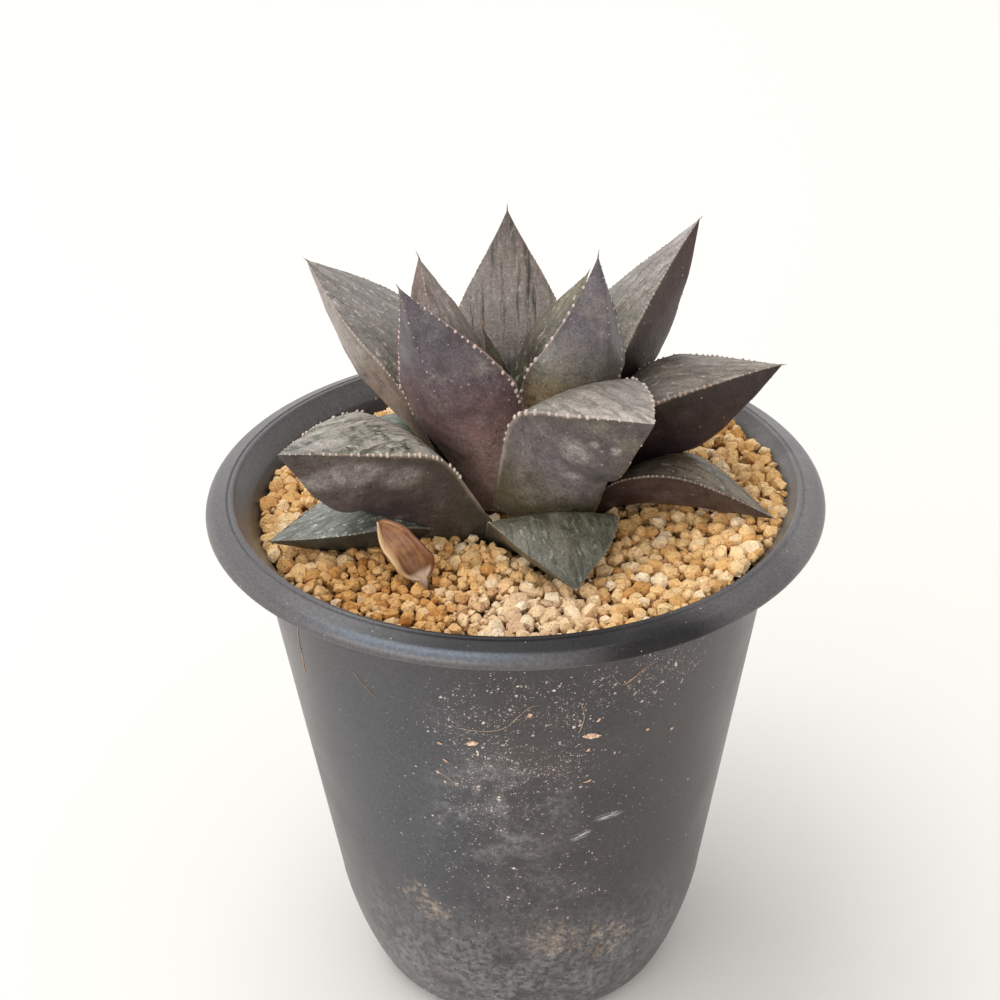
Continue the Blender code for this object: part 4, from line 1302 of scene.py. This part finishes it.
def dry_skin():
    """Dead leaf skin: papery and brittle, rust brown, bleached to cream at its margins."""
    material, node, body, shader = new_material("dead_leaf_paper")
    where = node(STRIP_PLACE, output="Vector")
    parts = node(PARTS, where).node.outputs
    across, along = parts["X"], parts["Y"]
    fibres = node(MAPPING, where, scale=(9.0, 1.2, 1.0))
    fibres = node(NOISE, fibres, scale=1.0, detail=4.0, roughness=0.6)
    tone = node(TIMES, node(PLUS, fibres, node(NOISE, body, scale=1000 / 2.5, detail=4.0)), 0.5)
    colour = node(RAMP, tone, stops=[(0.34, "523420"), (0.5, "845a3a"), (0.66, "ac825a")])
    colour = node(MIX, node(TIMES, node(STEP, along, 0.6, 0.3), 0.6), colour, "542e1a")
    # A bleached margin on one side, the stalk, and a redder margin on the other side
    colour = node(MIX, node(STEP, across, 0.74, 0.9), colour, "ccaa7e")
    colour = node(MIX, node(STEP, along, 0.34, 0.26), colour, "c0a890")
    colour = node(MIX, node(TIMES, node(STEP, across, -0.7, -0.97), 0.7), colour, "754430")
    plug(shader, {
        "Base Color": colour,
        "Roughness": 0.55,
        "Normal": node(BUMP, height=fibres, strength=0.7, distance=0.2 * MM),
    })
    return material


def stem_skin():
    """The stem's skin between the leaf bases: dull green and brown."""
    material, node, body, shader = new_material("stem_skin")
    blotch = node(NOISE, body, scale=1000 / 2.0, detail=4.0)
    colour = node(RAMP, blotch, stops=[(0.35, "4a4a2a"), (0.65, "7a6c44")])
    plug(shader, {"Base Color": colour, "Roughness": 0.7})
    return material


# The floor, the lights and the camera

# Each light's place, what it points at and its size in metres, its power in watts and its colour
LIGHTS = {
    "overhead": ((-0.42, 0.12, 1.5), (0, 0, 0.08), (1.3, 1.0), 12.5, "fbfcff"),
    "front_window": ((-1.0, -1.2, 0.46), (0, 0, 0.07), (1.6, 0.7), 11.5, "fffaf4"),
}


def swing(first, second, angle):
    """Two directions at right angles, turned from the first towards the second."""
    return (
        first * math.cos(angle) + second * math.sin(angle),
        second * math.cos(angle) - first * math.sin(angle),
    )


def make_camera():
    """A camera at the photograph's place, turned so that the rim's middle falls where it does there."""
    rise = math.radians(ELEVATION)
    place = Vector((0, -DISTANCE * math.cos(rise), DISTANCE * math.sin(rise)))
    ahead = -place.normalized()
    right = Vector((1, 0, 0))
    up = right.cross(ahead)
    focal = LENS / SENSOR * PHOTO_WIDTH
    right, ahead = swing(right, ahead, math.atan((RIM_MIDDLE[0] - PHOTO_WIDTH / 2) / focal))
    ahead, up = swing(ahead, up, math.atan((RIM_MIDDLE[1] - PHOTO_WIDTH / 2) / focal))
    right, up = swing(right, up, math.radians(ROLL))
    lens = bpy.data.cameras.new("camera")
    lens.lens = LENS
    lens.sensor_width = SENSOR
    lens.clip_start = 0.01
    camera = bpy.data.objects.new("camera", lens)
    turn = Matrix((right, up, -ahead)).transposed().to_4x4()
    camera.matrix_world = Matrix.Translation(place + Vector((0, 0, RIM_HEIGHT))) @ turn
    bpy.context.scene.collection.objects.link(camera)
    bpy.context.scene.camera = camera


def area_light(name, place, target, size, power, colour):
    """A soft box that points at a target."""
    light = bpy.data.lights.new(name, "AREA")
    light.shape = "RECTANGLE"
    light.size, light.size_y = size
    light.energy = power
    light.color = linear(colour)
    obj = bpy.data.objects.new(name, light)
    way = Vector(target) - Vector(place)
    obj.matrix_world = Matrix.Translation(place) @ way.to_track_quat("-Z", "Y").to_matrix().to_4x4()
    bpy.context.scene.collection.objects.link(obj)


def paper_floor():
    """White backdrop paper: quite matt, and hardly uneven."""
    material, node, body, shader = new_material("white_paper_floor")
    tint = node(NOISE, body, scale=1.5, detail=2.0)
    colour = node(RAMP, tint, stops=[(0.3, "dbd8d3"), (0.7, "dedbd7")])
    plug(shader, {"Base Color": colour, "Roughness": 0.9, "Specular IOR Level": 0.1})
    return material


def make_stage():
    """The floor, the walls' glow and the lights."""
    bpy.ops.mesh.primitive_plane_add(size=12.0)
    floor = bpy.context.object
    floor.name = "floor"
    floor.data.materials.append(paper_floor())
    world = bpy.data.worlds.new("studio")
    bpy.context.scene.world = world
    world.use_nodes = True
    node = partial(add, world.node_tree)
    # Bright walls all round under a dimmer ceiling, and the left wall is the brighter
    way = node(PARTS, node(COORDINATES)).node.outputs
    glow = node(RANGE, way["Z"], 0.15, 0.9, 1.38, 0.88)
    glow = node(TIMES, glow, node(TIMES_PLUS, way["X"], -0.18, 1.0))
    plug(world.node_tree.nodes["Background"], {"Strength": glow, "Color": "fdfcfb"})
    for name, values in LIGHTS.items():
        area_light(name, *values)
    bpy.context.scene.view_settings.view_transform = "Standard"


def main():
    make_camera()
    make_stage()
    bead_shape = make_bead()
    for index, name in enumerate(LEAVES):
        make_leaf(name, bead_shape, index)
    make_dry_leaf()
    stem = bpy.data.objects["stem"]
    stem.data.materials.clear()
    stem.data.materials.append(stem_skin())
    make_pot()
    make_litter()
    make_soil()


main()
